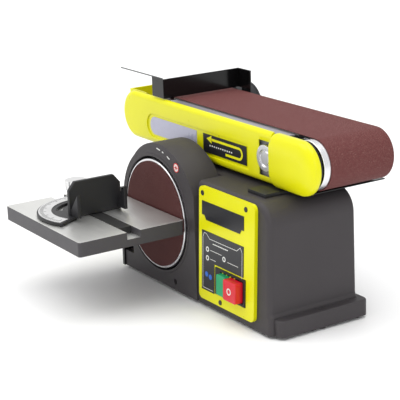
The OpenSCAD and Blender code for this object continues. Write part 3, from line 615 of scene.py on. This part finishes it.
class SANDER_OT_finishes(bpy.types.Operator):
    """Make every finish and give the frame's pieces theirs"""

    bl_idname = "sander.finishes"
    bl_label = "Finishes"

    def execute(self, context):
        Finishes.make(context.scene.sander_colours)
        for node, obj in frame["nodes"].items():
            obj.data.materials.clear()
            obj.data.materials.append(Finishes.get(slot_of(node)))
        frame["nodes"]["disc_plate"].data.materials[0] = Finishes.get("disc_rim")
        frame["nodes"]["sanding_disc"].data.materials[0] = Finishes.get("disc_grit")
        return {"FINISHED"}


class SANDER_OT_housing(bpy.types.Operator):
    """Mould the base housing with its rounded front, shoulder and foot flange"""

    bl_idname = "sander.housing"
    bl_label = "Housing"

    def execute(self, context):
        sizes = context.scene.sander_sizes
        a, b = low("base_housing"), high("base_housing")
        guard = high("disc_guard")
        stator_x = middle("motor_stator").x
        a.z = high("rubber_feet").z
        left, right = stator_x - 52 * MM, b.x - 19 * MM
        front, back = LEAN_FOOT, low("drive_tunnel").y
        neck_left, neck_back = stator_x - 28 * MM, low("motor_bells").y - 5 * MM
        foot_top = a.z + 22 * MM
        plan = [(guard.x, front), (right, front), (right, back), (left, back), (left, neck_back),
                (neck_left, neck_back), (neck_left, guard.y), (guard.x, guard.y)]
        bm = bmesh.new()
        bm.faces.new([bm.verts.new((x, y, a.z)) for x, y in plan])
        thicken(bm, b.z - a.z, Z)
        self.flare(bm, right, foot_top)
        shoulder = [e for e in bm.edges if all(
            abs(v.co.x - right) < 1e-4 and abs(v.co.z - b.z) < 1e-4 for v in e.verts)]
        round_edges(bm, shoulder, sizes.shoulder, 10)
        self.lean(bm, front, b.z)
        rim = [e for e in bm.edges if len(e.link_faces) == 2 and self.on_front_rim(e, guard.x, a.z)]
        round_edges(bm, rim, sizes.housing_round, 5)
        backs = sharp_edges(bm, 50, lambda point: point.y > back - MM and point.z > foot_top)
        round_edges(bm, backs, 4 * MM, 3)
        self.foot(bm, a, b, guard, foot_top)
        build("housing", bm, ["dark_housing"], "base", ("base_housing",))
        return {"FINISHED"}

    @staticmethod
    def flare(bm, right, foot_top):
        """Widens the right wall towards its foot, with a small fillet above the flange."""
        fillet, fillet_up, spread, spread_up = 3.5 * MM, 7 * MM, 3 * MM, 110 * MM
        for up in (1 * MM, 3 * MM, fillet_up):
            split_at(bm, (0, 0, foot_top + up), Z)
        for vert in bm.verts:
            if abs(vert.co.x - right) < 1e-4:
                up = max(0.0, vert.co.z - foot_top)
                vert.co.x += spread * max(0.0, 1 - up / spread_up)
                vert.co.x += fillet * max(0.0, 1 - up / fillet_up) ** 2

    @staticmethod
    def lean(bm, front, top):
        """Leans the front wall back towards its top."""
        for vert in bm.verts:
            if abs(vert.co.y - front) < 1e-4:
                vert.co.y += LEAN_BACK * vert.co.z / top

    @staticmethod
    def on_front_rim(edge, left, bottom):
        """Whether an edge bounds the front face, apart from its left side and its foot."""
        fronts = [f for f in edge.link_faces if f.normal.y < -0.9]
        if len(fronts) != 1:
            return False
        mid = (edge.verts[0].co + edge.verts[1].co) / 2
        return mid.x > left + MM and mid.z > bottom + MM

    @staticmethod
    def foot(bm, a, b, guard, top):
        """Adds the foot flange with rounded ends and a softened rim, and its bolt holes' rings."""
        part = bmesh.new()
        front, beside = -b.y, guard.x + 1 * MM
        plan = [(a.x, guard.y), (beside, guard.y), (beside, front), (b.x, front), (b.x, b.y), (a.x, b.y)]
        part.faces.new([part.verts.new((x, y, a.z)) for x, y in plan])
        thicken(part, top - a.z, Z)
        posts = [e for e in part.edges if abs(e.verts[0].co.z - e.verts[1].co.z) > MM
                 and abs(e.verts[0].co.x) > 150 * MM and e.verts[0].co.y != guard.y]
        round_edges(part, posts, 9 * MM, 6)
        rim = [e for e in sharp_edges(part, 40) if abs(e.verts[0].co.z - top) < 1e-5
               and abs(e.verts[1].co.z - top) < 1e-5]
        round_edges(part, rim, 2.5 * MM, 3)
        joined = bpy.data.meshes.new("foot_flange")
        part.to_mesh(joined)
        part.free()
        bm.from_mesh(joined)
        bpy.data.meshes.remove(joined)
        bolt_x, bolt_r = b.x - 10 * MM, 3 * MM
        for x in (-bolt_x, bolt_x):
            disc_into(bm, (x, 0, top - 0.5 * MM), 4.6 * MM, 2 * MM, Z, 32, bolt_r)
            disc_into(bm, (x, 0, a.z / 2), 6 * MM, a.z, Z, 32, bolt_r)


class SANDER_OT_guard(bpy.types.Operator):
    """Shape the disc guard, its raised lip and its rotation marks"""

    bl_idname = "sander.guard"
    bl_label = "Disc guard"

    def execute(self, context):
        softened("disc_guard", 2.0 * MM, segments=3)
        front = low("disc_guard").y
        lip = [(81.2, 0.5), (81.2, -0.5), (82.0, -0.9), (84.4, -0.9), (85.4, -0.4), (85.8, 0.5)]
        build("guard_lip", ring_round_disc(front, lip), ["dark_housing"], "base")
        self.rim()
        self.marks(front)
        return {"FINISHED"}

    @staticmethod
    def rim():
        """The disc plate's bright turned bead, outside its abrasive."""
        bead = [(74.6, 0.4), (75.3, -0.2), (76.6, -0.2), (77.4, 0.5), (77.6, 1.6), (77.6, 14),
                (74.6, 14)]
        build("disc_bead", ring_round_disc(low("disc_plate").y, bead), ["disc_rim"], "rotor")

    @staticmethod
    def marks(front):
        """The round decal and the dashes that show the turning way."""
        def on_guard(radius, angle, proud):
            turn = math.radians(angle)
            way = Vector((math.cos(turn), 0, math.sin(turn)))
            return Vector((DISC.x, front - proud, DISC.z)) + way * radius

        centre = on_guard(97 * MM, 53, 0.25 * MM)
        bm = bmesh.new()
        disc_into(bm, centre, 6.2 * MM, 0.4 * MM)
        build("guard_decal", finish_mesh(bm), ["label_pale"], "base")
        bm = bmesh.new()
        disc_into(bm, centre - Y * 0.2 * MM, 6.4 * MM, 0.4 * MM, steps=40, inner=5.2 * MM)
        box_into(bm, centre + Vector((-3.4, -0.6, -0.8)) * MM, centre + Vector((3.4, 0, 0.8)) * MM)
        box_into(bm, centre + Vector((-0.8, -0.6, -3.0)) * MM, centre + Vector((0.8, 0, 3.0)) * MM)
        build("guard_decal_ring", finish_mesh(bm), ["label_red"], "base")
        bm = bmesh.new()
        for angle, length in ((66, 7), (75, 4), (82, 9)):
            half = Vector((length / 2, 0.2, 0.7)) * MM
            verts = box_into(bm, -half, half)
            at = on_guard(95.5 * MM, angle, 0.2 * MM)
            spin = Matrix.Translation(at) @ Matrix.Rotation(math.radians(90 - angle), 4, "Y")
            bmesh.ops.transform(bm, matrix=spin, verts=verts)
        build("guard_dashes", finish_mesh(bm), ["label_pale"], "base")


class SANDER_OT_end_cap(bpy.types.Operator):
    """Blow the end cap into its rounded dome, open behind the tracking wheel"""

    bl_idname = "sander.end_cap"
    bl_label = "End cap"

    def execute(self, context):
        sizes = context.scene.sander_sizes
        a, b = low("end_cap"), high("end_cap")
        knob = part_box("tracking_knob")
        rim_y, spare = a.y + 11 * MM, 2 * MM
        doorway = (knob[0].z - spare, knob[1].z + spare)
        reach = (b.z - a.z) / 2
        rings = [[(x, b.y, z) for x, z in self.loop(a, b, reach, 0, doorway)]]
        for inset, rise in crown(13, sizes.dome_power):
            loop = self.loop(a, b, reach, inset * sizes.dome_round, doorway)
            rings.append([(x, rim_y + (a.y - rim_y) * rise, z) for x, z in loop])
        bm = skinned(rings)
        opened = [f for f in bm.faces if self.over_wheel(f.calc_center_median(), a, knob, doorway)]
        bmesh.ops.delete(bm, geom=opened, context="FACES_ONLY")
        facing_out(bm, -Y)
        walled(build("end_cap_dome", bm, ["lime_plastic"], "arm", ("end_cap",)),
               sizes.skin)
        return {"FINISHED"}

    @staticmethod
    def loop(a, b, reach, t, doorway):
        """The dome's outline drawn in by t, less on its left than elsewhere."""
        corner = max(12 * MM - t * 0.4, 1 * MM)
        x = a.x + 0.2 * t + corner
        points = arc((x, b.z - t - corner), corner, 180, 90, 6)
        points += arc((b.x - reach, (a.z + b.z) / 2), reach - t, 90, -90, 32)
        points += arc((x, a.z + t + corner), corner, 270, 180, 6)
        return points + [(x - corner, z) for z in doorway if a.z + t + corner < z < b.z - t - corner]

    @staticmethod
    def over_wheel(point, cap, knob, doorway):
        """Whether a point of the dome's left wall stands where the wheel passes."""
        return (point.x < cap.x + 5 * MM and doorway[0] < point.z < doorway[1]
                and point.y > knob[0].y)


class SANDER_OT_side_cover(bpy.types.Operator):
    """Mould the side cover with its rounded rim and its recess, and draw the arrow"""

    bl_idname = "sander.side_cover"
    bl_label = "Side cover"

    def execute(self, context):
        sizes = context.scene.sander_sizes
        a, b = low("side_cover"), high("side_cover")
        reach, middle_z = (b.z - a.z) / 2, (a.z + b.z) / 2
        rim_y = a.y + sizes.cover_depth

        def ring(y, centre, radius, end_x):
            """A loop with a round left end and a square right one."""
            bow = arc(centre, radius, 90, 270, 40)
            return [(x, y, z) for x, z in [(end_x, bow[0][1]), *bow, (end_x, bow[-1][1])]]

        tail = (a.x + reach, middle_z)
        rings = [ring(b.y, tail, reach, b.x)]
        for inset, rise in crown(9, 2.0):
            y = rim_y + (a.y - rim_y) * rise
            rings.append(ring(y, tail, reach - inset * sizes.cover_round, b.x))
        window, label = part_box("cover_window"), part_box("direction_label")
        r, margin = (window[1].z - window[0].z) / 2, 4 * MM
        hollow = (window[0].x + r - margin, window[0].z + r)
        for grow, y in ((5.2 * MM, a.y), (4.2 * MM, a.y + 0.35 * MM), (3.9 * MM, window[1].y)):
            rings.append(ring(y, hollow, r + grow, label[1].x + grow))
        bm = skinned(rings)
        self.cut_wheel_gap(bm, b)
        facing_out(bm, -Y)
        walled(build("side_cover_shell", bm, ["lime_plastic"], "arm", ("side_cover",)),
               sizes.skin)
        self.arrow()
        return {"FINISHED"}

    @staticmethod
    def cut_wheel_gap(bm, cover):
        """Opens the cover round the tracking wheel."""
        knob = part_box("tracking_knob")
        left, bottom, top = cover.x - 28 * MM, knob[0].z - 8.5 * MM, knob[1].z + 3.5 * MM
        for place, way in (((left, 0, 0), X), ((0, 0, bottom), Z), ((0, 0, top), Z)):
            split_at(bm, place, way)
        gap = [f for f in bm.faces if f.calc_center_median().x > left
               and bottom < f.calc_center_median().z < top]
        bmesh.ops.delete(bm, geom=gap, context="FACES")

    @staticmethod
    def arrow():
        """The belt's direction arrow: a U that turns back, with a head at its far end."""
        a, b = low("direction_label"), high("direction_label")
        y = a.y - 0.12 * MM
        top, bottom = b.z - 6.0 * MM, a.z + 5.5 * MM
        bend = (top - bottom) / 2
        right, left = b.x - 10 * MM - bend, a.x + 20 * MM
        half = 1.7 * MM
        bm = bmesh.new()
        centre = (right, (top + bottom) / 2)
        outer, inner = (arc(centre, bend + side, 90, -90, 12) for side in (half, -half))
        outer = [(left, top + half), *outer, (right - 32 * MM, bottom - half)]
        inner = [(left, top - half), *inner, (right - 32 * MM, bottom + half)]
        sides = [[bm.verts.new((x, y, z)) for x, z in line] for line in (outer, inner)]
        for p, q, r, s in zip(sides[0], sides[1], sides[0][1:], sides[1][1:]):
            bm.faces.new((p, r, s, q))
        head = ((1, 5.5), (1, -5.5), (-11, 0))
        bm.faces.new([bm.verts.new((left + x * MM, y, top + z * MM)) for x, z in head])
        thicken(bm, 0.2 * MM)
        build("belt_arrow", finish_mesh(bm), ["label_lime"], "arm")
        bm = bmesh.new()
        tick = Vector((2.6, 0.2, 2.0)) * MM
        corner = Vector((left - 4 * MM, y, (top + bottom) / 2 - 2.5 * MM))
        while corner.x < right - 16 * MM:
            box_into(bm, corner, corner + tick)
            corner.x += 2 * tick.x
        build("belt_ticks", finish_mesh(bm), ["label_pale"], "arm")


class SANDER_OT_panel(bpy.types.Operator):
    """Finish the control panel, its plates, its line art and its buttons"""

    bl_idname = "sander.panel"
    bl_label = "Control panel"

    def execute(self, context):
        a, b = low("control_panel"), high("control_panel")

        def outer(point):
            side = min(point.x - a.x, b.x - point.x, point.z - a.z, b.z - point.z)
            return side < 9 * MM and self.height(point) > 4.6 * MM

        softened("control_panel", 0.4 * MM, stages=((outer, 1.8 * MM, 4),))
        softened("switch_body", 0.8 * MM)
        softened("name_plate", 0.25 * MM)
        softened("start_button", 1.3 * MM, segments=4)
        softened("stop_button", 1.3 * MM, segments=4)
        softened("panel_screws", 0.4 * MM)
        self.art()
        return {"FINISHED"}

    @staticmethod
    def height(point):
        """How far a point stands out from the housing's leaning front."""
        return (LEAN_FOOT - point.y) * math.cos(LEAN) + point.z * math.sin(LEAN)

    @staticmethod
    def on_face(u, v, out):
        """A point on the leaning front: u along X, v up the face, out from it."""
        return Vector((u, LEAN_FOOT + v * math.sin(LEAN) - out * math.cos(LEAN),
                       v * math.cos(LEAN) + out * math.sin(LEAN)))

    def facing(self):
        """The way that the leaning front looks."""
        return (self.on_face(0, 0, 1) - self.on_face(0, 0, 0)).normalized()

    def strip(self, bm, points, width, out):
        """A thin printed line through points on the face."""
        for (u0, v0), (u1, v1) in zip(points, points[1:]):
            way = Vector((u1 - u0, v1 - v0, 0)).normalized()
            side = Vector((-way.y, way.x, 0)) * width / 2
            start = Vector((u0, v0, 0)) - way * width / 2
            end = Vector((u1, v1, 0)) + way * width / 2
            corners = [start + side, end + side, end - side, start - side]
            bm.faces.new([bm.verts.new(self.on_face(c.x, c.y, out)) for c in corners])

    def art(self):
        """Generic line art: a notched frame, round marks, rules and hazard hatching."""
        out, notch = 5.75 * MM, 6 * MM
        x0, x1 = low("rating_label").x + 3 * MM, high("rating_label").x - 3 * MM
        z0, z1 = 31 * MM, 107 * MM
        bm = bmesh.new()
        lines = [(x1, z0 + 36 * MM), (x1, z1 - notch), (x1 - 4 * MM, z1), (x1 - 12 * MM, z1 - notch),
                 (x0 + 16 * MM, z1 - notch), (x0 + 8 * MM, z1), (x0 + 3 * MM, z1),
                 (x0, z1 - notch), (x0, z0), (x0 + 24 * MM, z0)]
        self.strip(bm, lines, 0.7 * MM, out)

        def rule(bm, u, v, length, width):
            """A level line from u mm right of the frame, v mm up the face."""
            start = x0 + u * MM
            self.strip(bm, [(start, v * MM), (start + length * MM, v * MM)], width * MM, out)

        for u, v, length in ((18, 86, 26), (18, 74, 12), (58, 80, 24)):
            rule(bm, u, v, length, 0.7)
        for step in range(9):
            rule(bm, 24 + 4 * step, 96, 2.2, 1.3)
        build("label_lines", finish_mesh(bm), ["label_pale"], "base", flat=True)
        for name, spots, finish in (
                ("label_rings", ((11, 86), (11, 74), (50, 82)), "label_pale"),
                ("label_spots", ((9, 51), (18, 49)), "label_blue")):
            bm = bmesh.new()
            for u, v in spots:
                centre = self.on_face(x0 + u * MM, v * MM, out + 0.05 * MM)
                inner = 2.0 * MM if finish == "label_pale" else 0.0
                disc_into(bm, centre, 3.6 * MM, 0.2 * MM, self.facing(), 28, inner)
            build(name, finish_mesh(bm), [finish], "base")
        bm = bmesh.new()
        for step in range(4):
            u = x0 + (44 + 9 * step) * MM
            self.strip(bm, [(u, 58 * MM), (u + 5 * MM, 65 * MM)], 2.2 * MM, out)
        rule(bm, 38, 55, 40, 1.2)
        rule(bm, 44, 68, 36, 0.8)
        build("label_hatching", finish_mesh(bm), ["label_lime"], "base", flat=True)
        self.symbols()

    def symbols(self):
        """The start bar and the stop ring on the button faces."""
        start, stop = middle("start_button"), middle("stop_button")
        start_face, stop_face, middle_v = 13.6 * MM, 17.9 * MM, 48 * MM
        bm = bmesh.new()
        bar = [(start.x, middle_v - 5 * MM), (start.x, middle_v + 5 * MM)]
        self.strip(bm, bar, 1.6 * MM, start_face)
        build("start_mark", finish_mesh(bm), ["label_pale"], "start", flat=True)
        bm = bmesh.new()
        centre = self.on_face(stop.x, middle_v, stop_face)
        disc_into(bm, centre, 4.6 * MM, 0.2 * MM, self.facing(), 32, 3.1 * MM)
        build("stop_mark", finish_mesh(bm), ["label_pale"], "stop")


class SANDER_OT_table(bpy.types.Operator):
    """Mill the disc table's top and paint its sides"""

    bl_idname = "sander.table"
    bl_label = "Disc table"

    def execute(self, context):
        top, slot_depth = high("disc_table").z, 12 * MM
        bm = merged("disc_table")
        rim = sharp_edges(bm, test=lambda point: point.z > top - 0.5 * MM)
        round_edges(bm, rim, 1.0 * MM, 2)
        for face in bm.faces:
            milled_face = face.normal.z > 0.5 and face.calc_center_median().z > top - slot_depth
            face.material_index = 1 if milled_face else 0
        build("table_casting", bm, ["table_paint", "table_top"], "table", ("disc_table",))
        softened("table_bracket", 1.0 * MM)
        softened("table_lock_knob", 1.2 * MM, segments=3)
        return {"FINISHED"}


class SANDER_OT_gauge(bpy.types.Operator):
    """Finish the mitre gauge: bar, head, scale ticks and clamp knob"""

    bl_idname = "sander.gauge"
    bl_label = "Mitre gauge"

    def execute(self, context):
        softened("mitre_bar", 0.5 * MM)
        softened("mitre_head", 0.8 * MM, segments=3)
        self.gussets()
        softened("mitre_knob", 1.2 * MM, segments=3)
        pivot = Vector((DISC.x - 34 * MM, middle("mitre_bar").y, high("mitre_scale").z))
        bm = bmesh.new()
        start, outer = 172, 72 * MM
        for angle in range(start, 295, 3):
            inner = 63 * MM if (angle - start) % 15 == 0 else 67 * MM
            verts = box_into(bm, (inner, -0.25 * MM, 0), (outer, 0.25 * MM, 0.15 * MM))
            spin = Matrix.Translation(pivot) @ Matrix.Rotation(math.radians(angle), 4, "Z")
            bmesh.ops.transform(bm, matrix=spin, verts=verts)
        build("scale_ticks", finish_mesh(bm), ["label_black"], "gauge")
        return {"FINISHED"}

    @staticmethod
    def gussets():
        """The two sloping ribs that brace the gauge's fence."""
        a, b = low("mitre_head"), high("mitre_head")
        face_x, base_z, bar_y = b.x - 5.5 * MM, a.z + 3.8 * MM, middle("mitre_bar").y
        bm = bmesh.new()
        for side in (-1, 1):
            y = bar_y + side * 36 * MM - 2.5 * MM
            corners = [(face_x, b.z - 13 * MM), (face_x, base_z), (face_x - 27 * MM, base_z)]
            bm.faces.new([bm.verts.new((x, y, z)) for x, z in corners])
        thicken(bm, 5 * MM)
        round_edges(bm, sharp_edges(bm), 0.7 * MM, 3)
        build("gauge_ribs", bm, [slot_of("mitre_head")], "gauge")


class SANDER_OT_arm(bpy.types.Operator):
    """Finish the arm's frame, sheet metal, drums and dust hood"""

    bl_idname = "sander.arm"
    bl_label = "Arm"

    def execute(self, context):
        for node, width, segments in (
                ("arm_frame", 0.8, 2), ("dust_hood", 1.6, 3), ("lower_guard", 0.4, 2)):
            softened(node, width * MM, segments)
        softened("stop_fence", 0.6 * MM, stages=((None, 1.4 * MM, 5),))
        for node, width, segments in (
                ("tension_carriage", 1.0, 2), ("tension_lever", 1.5, 3), ("arm_rest", 1.0, 2),
                ("idler_drum", 1.2, 3), ("sanding_belt", 0.15, 2), ("tracking_knob", 0.4, 2),
                ("drive_case", 2.0, 3), ("drive_cover", 1.2, 3), ("rubber_feet", 0.8, 2),
                ("cable_gland", 1.2, 3)):
            softened(node, width * MM, segments)
        self.clear_guard()
        return {"FINISHED"}

    @staticmethod
    def clear_guard():
        """The clear plate over the drive drum; its front edge looks dark, so its front-facing faces get
        painted shade.
        """
        bm = merged("clear_guard")
        for face in bm.faces:
            # Faces that look forwards get the dark film, painted shade on the plate's front edge.
            face.material_index = 1 if face.normal.y < -0.5 else 0
        build("clear_plate", bm, ["clear_plastic", "painted_shade_edge"], "arm", ("clear_guard",),
              flat=True)


class SANDER_OT_stage(bpy.types.Operator):
    """Set the floor, the lights and the camera"""

    bl_idname = "sander.stage"
    bl_label = "Stage"

    azimuth: FloatProperty(name="Azimuth", description="Turn of the camera from the front, to the right",
                           subtype="ANGLE", default=math.radians(57.61))
    elevation: FloatProperty(name="Elevation", description="Height of the camera above the horizon",
                             subtype="ANGLE", default=math.radians(16.08))
    roll: FloatProperty(name="Roll", description="Tilt of the picture", subtype="ANGLE",
                        default=math.radians(1.99))
    distance: FloatProperty(name="Distance", description="From the camera to the point it looks at",
                            unit="LENGTH", default=1.7514)
    lens: FloatProperty(name="Lens", description="Focal length on a 36 mm sensor", default=120.72)
    aim: FloatVectorProperty(name="Aim", description="The point that the camera looks at",
                             subtype="TRANSLATION", size=3, default=(0.043, -0.083, 0.1576))
    shift: FloatVectorProperty(name="Shift", description="Shift of the picture", size=2,
                               default=(-0.0069, -0.0075))

    def execute(self, context):
        context.scene.view_settings.view_transform = "Standard"
        self.floor()
        self.lights(context.scene)
        self.camera(context.scene)
        return {"FINISHED"}

    @staticmethod
    def floor():
        """A plain pale floor."""
        mesh = bpy.data.meshes.new("floor")
        bm = bmesh.new()
        bmesh.ops.create_grid(bm, x_segments=1, y_segments=1, size=6.0)
        bm.to_mesh(mesh)
        bm.free()
        floor = bpy.data.objects.new("floor", mesh)
        bpy.context.scene.collection.objects.link(floor)
        f = Finish("Studio_Floor")
        dust = f.noise(3.0, 2.0)
        mesh.materials.append(f.surface(
            Base_Color=f.mix(dust, (0.93, 0.93, 0.93), (0.95, 0.95, 0.95)), Roughness=0.6))

    @staticmethod
    def lights(scene):
        """An even white sky, a broad soft sun and three soft lamps."""
        world = bpy.data.worlds.new("studio")
        world.use_nodes = True
        back = world.node_tree.nodes["Background"]
        back.inputs["Color"].default_value = (1.0, 1.0, 1.0, 1.0)
        back.inputs["Strength"].default_value = 0.92
        scene.world = world
        sun = bpy.data.lights.new("sky", "SUN")
        sun.energy = 0.9
        sun.angle = math.radians(60)
        scene.collection.objects.link(bpy.data.objects.new("sky", sun))
        for name, place, aim, size, power in (
                ("key", (-0.9, -1.3, 1.9), (0, 0, 0.15), 1.3, 12),
                ("fill", (1.6, -1.0, 0.9), (0, 0, 0.15), 1.0, 4),
                ("top", (0.1, 0.3, 2.0), (0, 0, 0.1), 1.2, 5)):
            data = bpy.data.lights.new(name, "AREA")
            data.size = size
            data.energy = power
            lamp = bpy.data.objects.new(name, data)
            scene.collection.objects.link(lamp)
            lamp.location = place
            lamp.rotation_euler = (Vector(aim) - Vector(place)).to_track_quat("-Z", "Y").to_euler()

    def camera(self, scene):
        """The camera, turned about the point that it looks at."""
        data = bpy.data.cameras.new("camera")
        data.lens = self.lens
        data.sensor_width = 36.0
        data.shift_x, data.shift_y = self.shift
        data.clip_end = 50
        camera = bpy.data.objects.new("camera", data)
        scene.collection.objects.link(camera)
        back = Vector((math.sin(self.azimuth) * math.cos(self.elevation),
                       -math.cos(self.azimuth) * math.cos(self.elevation), math.sin(self.elevation)))
        camera.location = Vector(self.aim) + back * self.distance
        level = back.to_track_quat("Z", "Y").to_matrix()
        camera.rotation_euler = (level @ Matrix.Rotation(-self.roll, 3, "Z")).to_euler()
        scene.camera = camera


class SANDER_PT_panel(bpy.types.Panel):
    """Lists the sander's pieces"""

    bl_idname = "SANDER_PT_panel"
    bl_label = "Bench sander"
    bl_space_type = "VIEW_3D"
    bl_region_type = "UI"
    bl_category = "Sander"

    def draw(self, context):
        column = self.layout.column()
        for operator in OPERATORS:
            column.operator(operator.bl_idname)
        for group in (context.scene.sander_colours, context.scene.sander_sizes):
            for key in group.__annotations__:
                column.prop(group, key)


OPERATORS = (
    SANDER_OT_finishes, SANDER_OT_housing, SANDER_OT_guard, SANDER_OT_panel, SANDER_OT_side_cover,
    SANDER_OT_end_cap, SANDER_OT_arm, SANDER_OT_table, SANDER_OT_gauge, SANDER_OT_stage)
GROUPS = (SanderColours, SanderSizes)


def register():
    for kind in GROUPS + OPERATORS + (SANDER_PT_panel,):
        bpy.utils.register_class(kind)
    bpy.types.Scene.sander_colours = PointerProperty(type=SanderColours)
    bpy.types.Scene.sander_sizes = PointerProperty(type=SanderSizes)


def unregister():
    del bpy.types.Scene.sander_sizes
    del bpy.types.Scene.sander_colours
    for kind in reversed(GROUPS + OPERATORS + (SANDER_PT_panel,)):
        bpy.utils.unregister_class(kind)


def main():
    register()
    for operator in OPERATORS:
        group, name = operator.bl_idname.split(".")
        getattr(getattr(bpy.ops, group), name)()


if __name__ == "__main__":
    main()
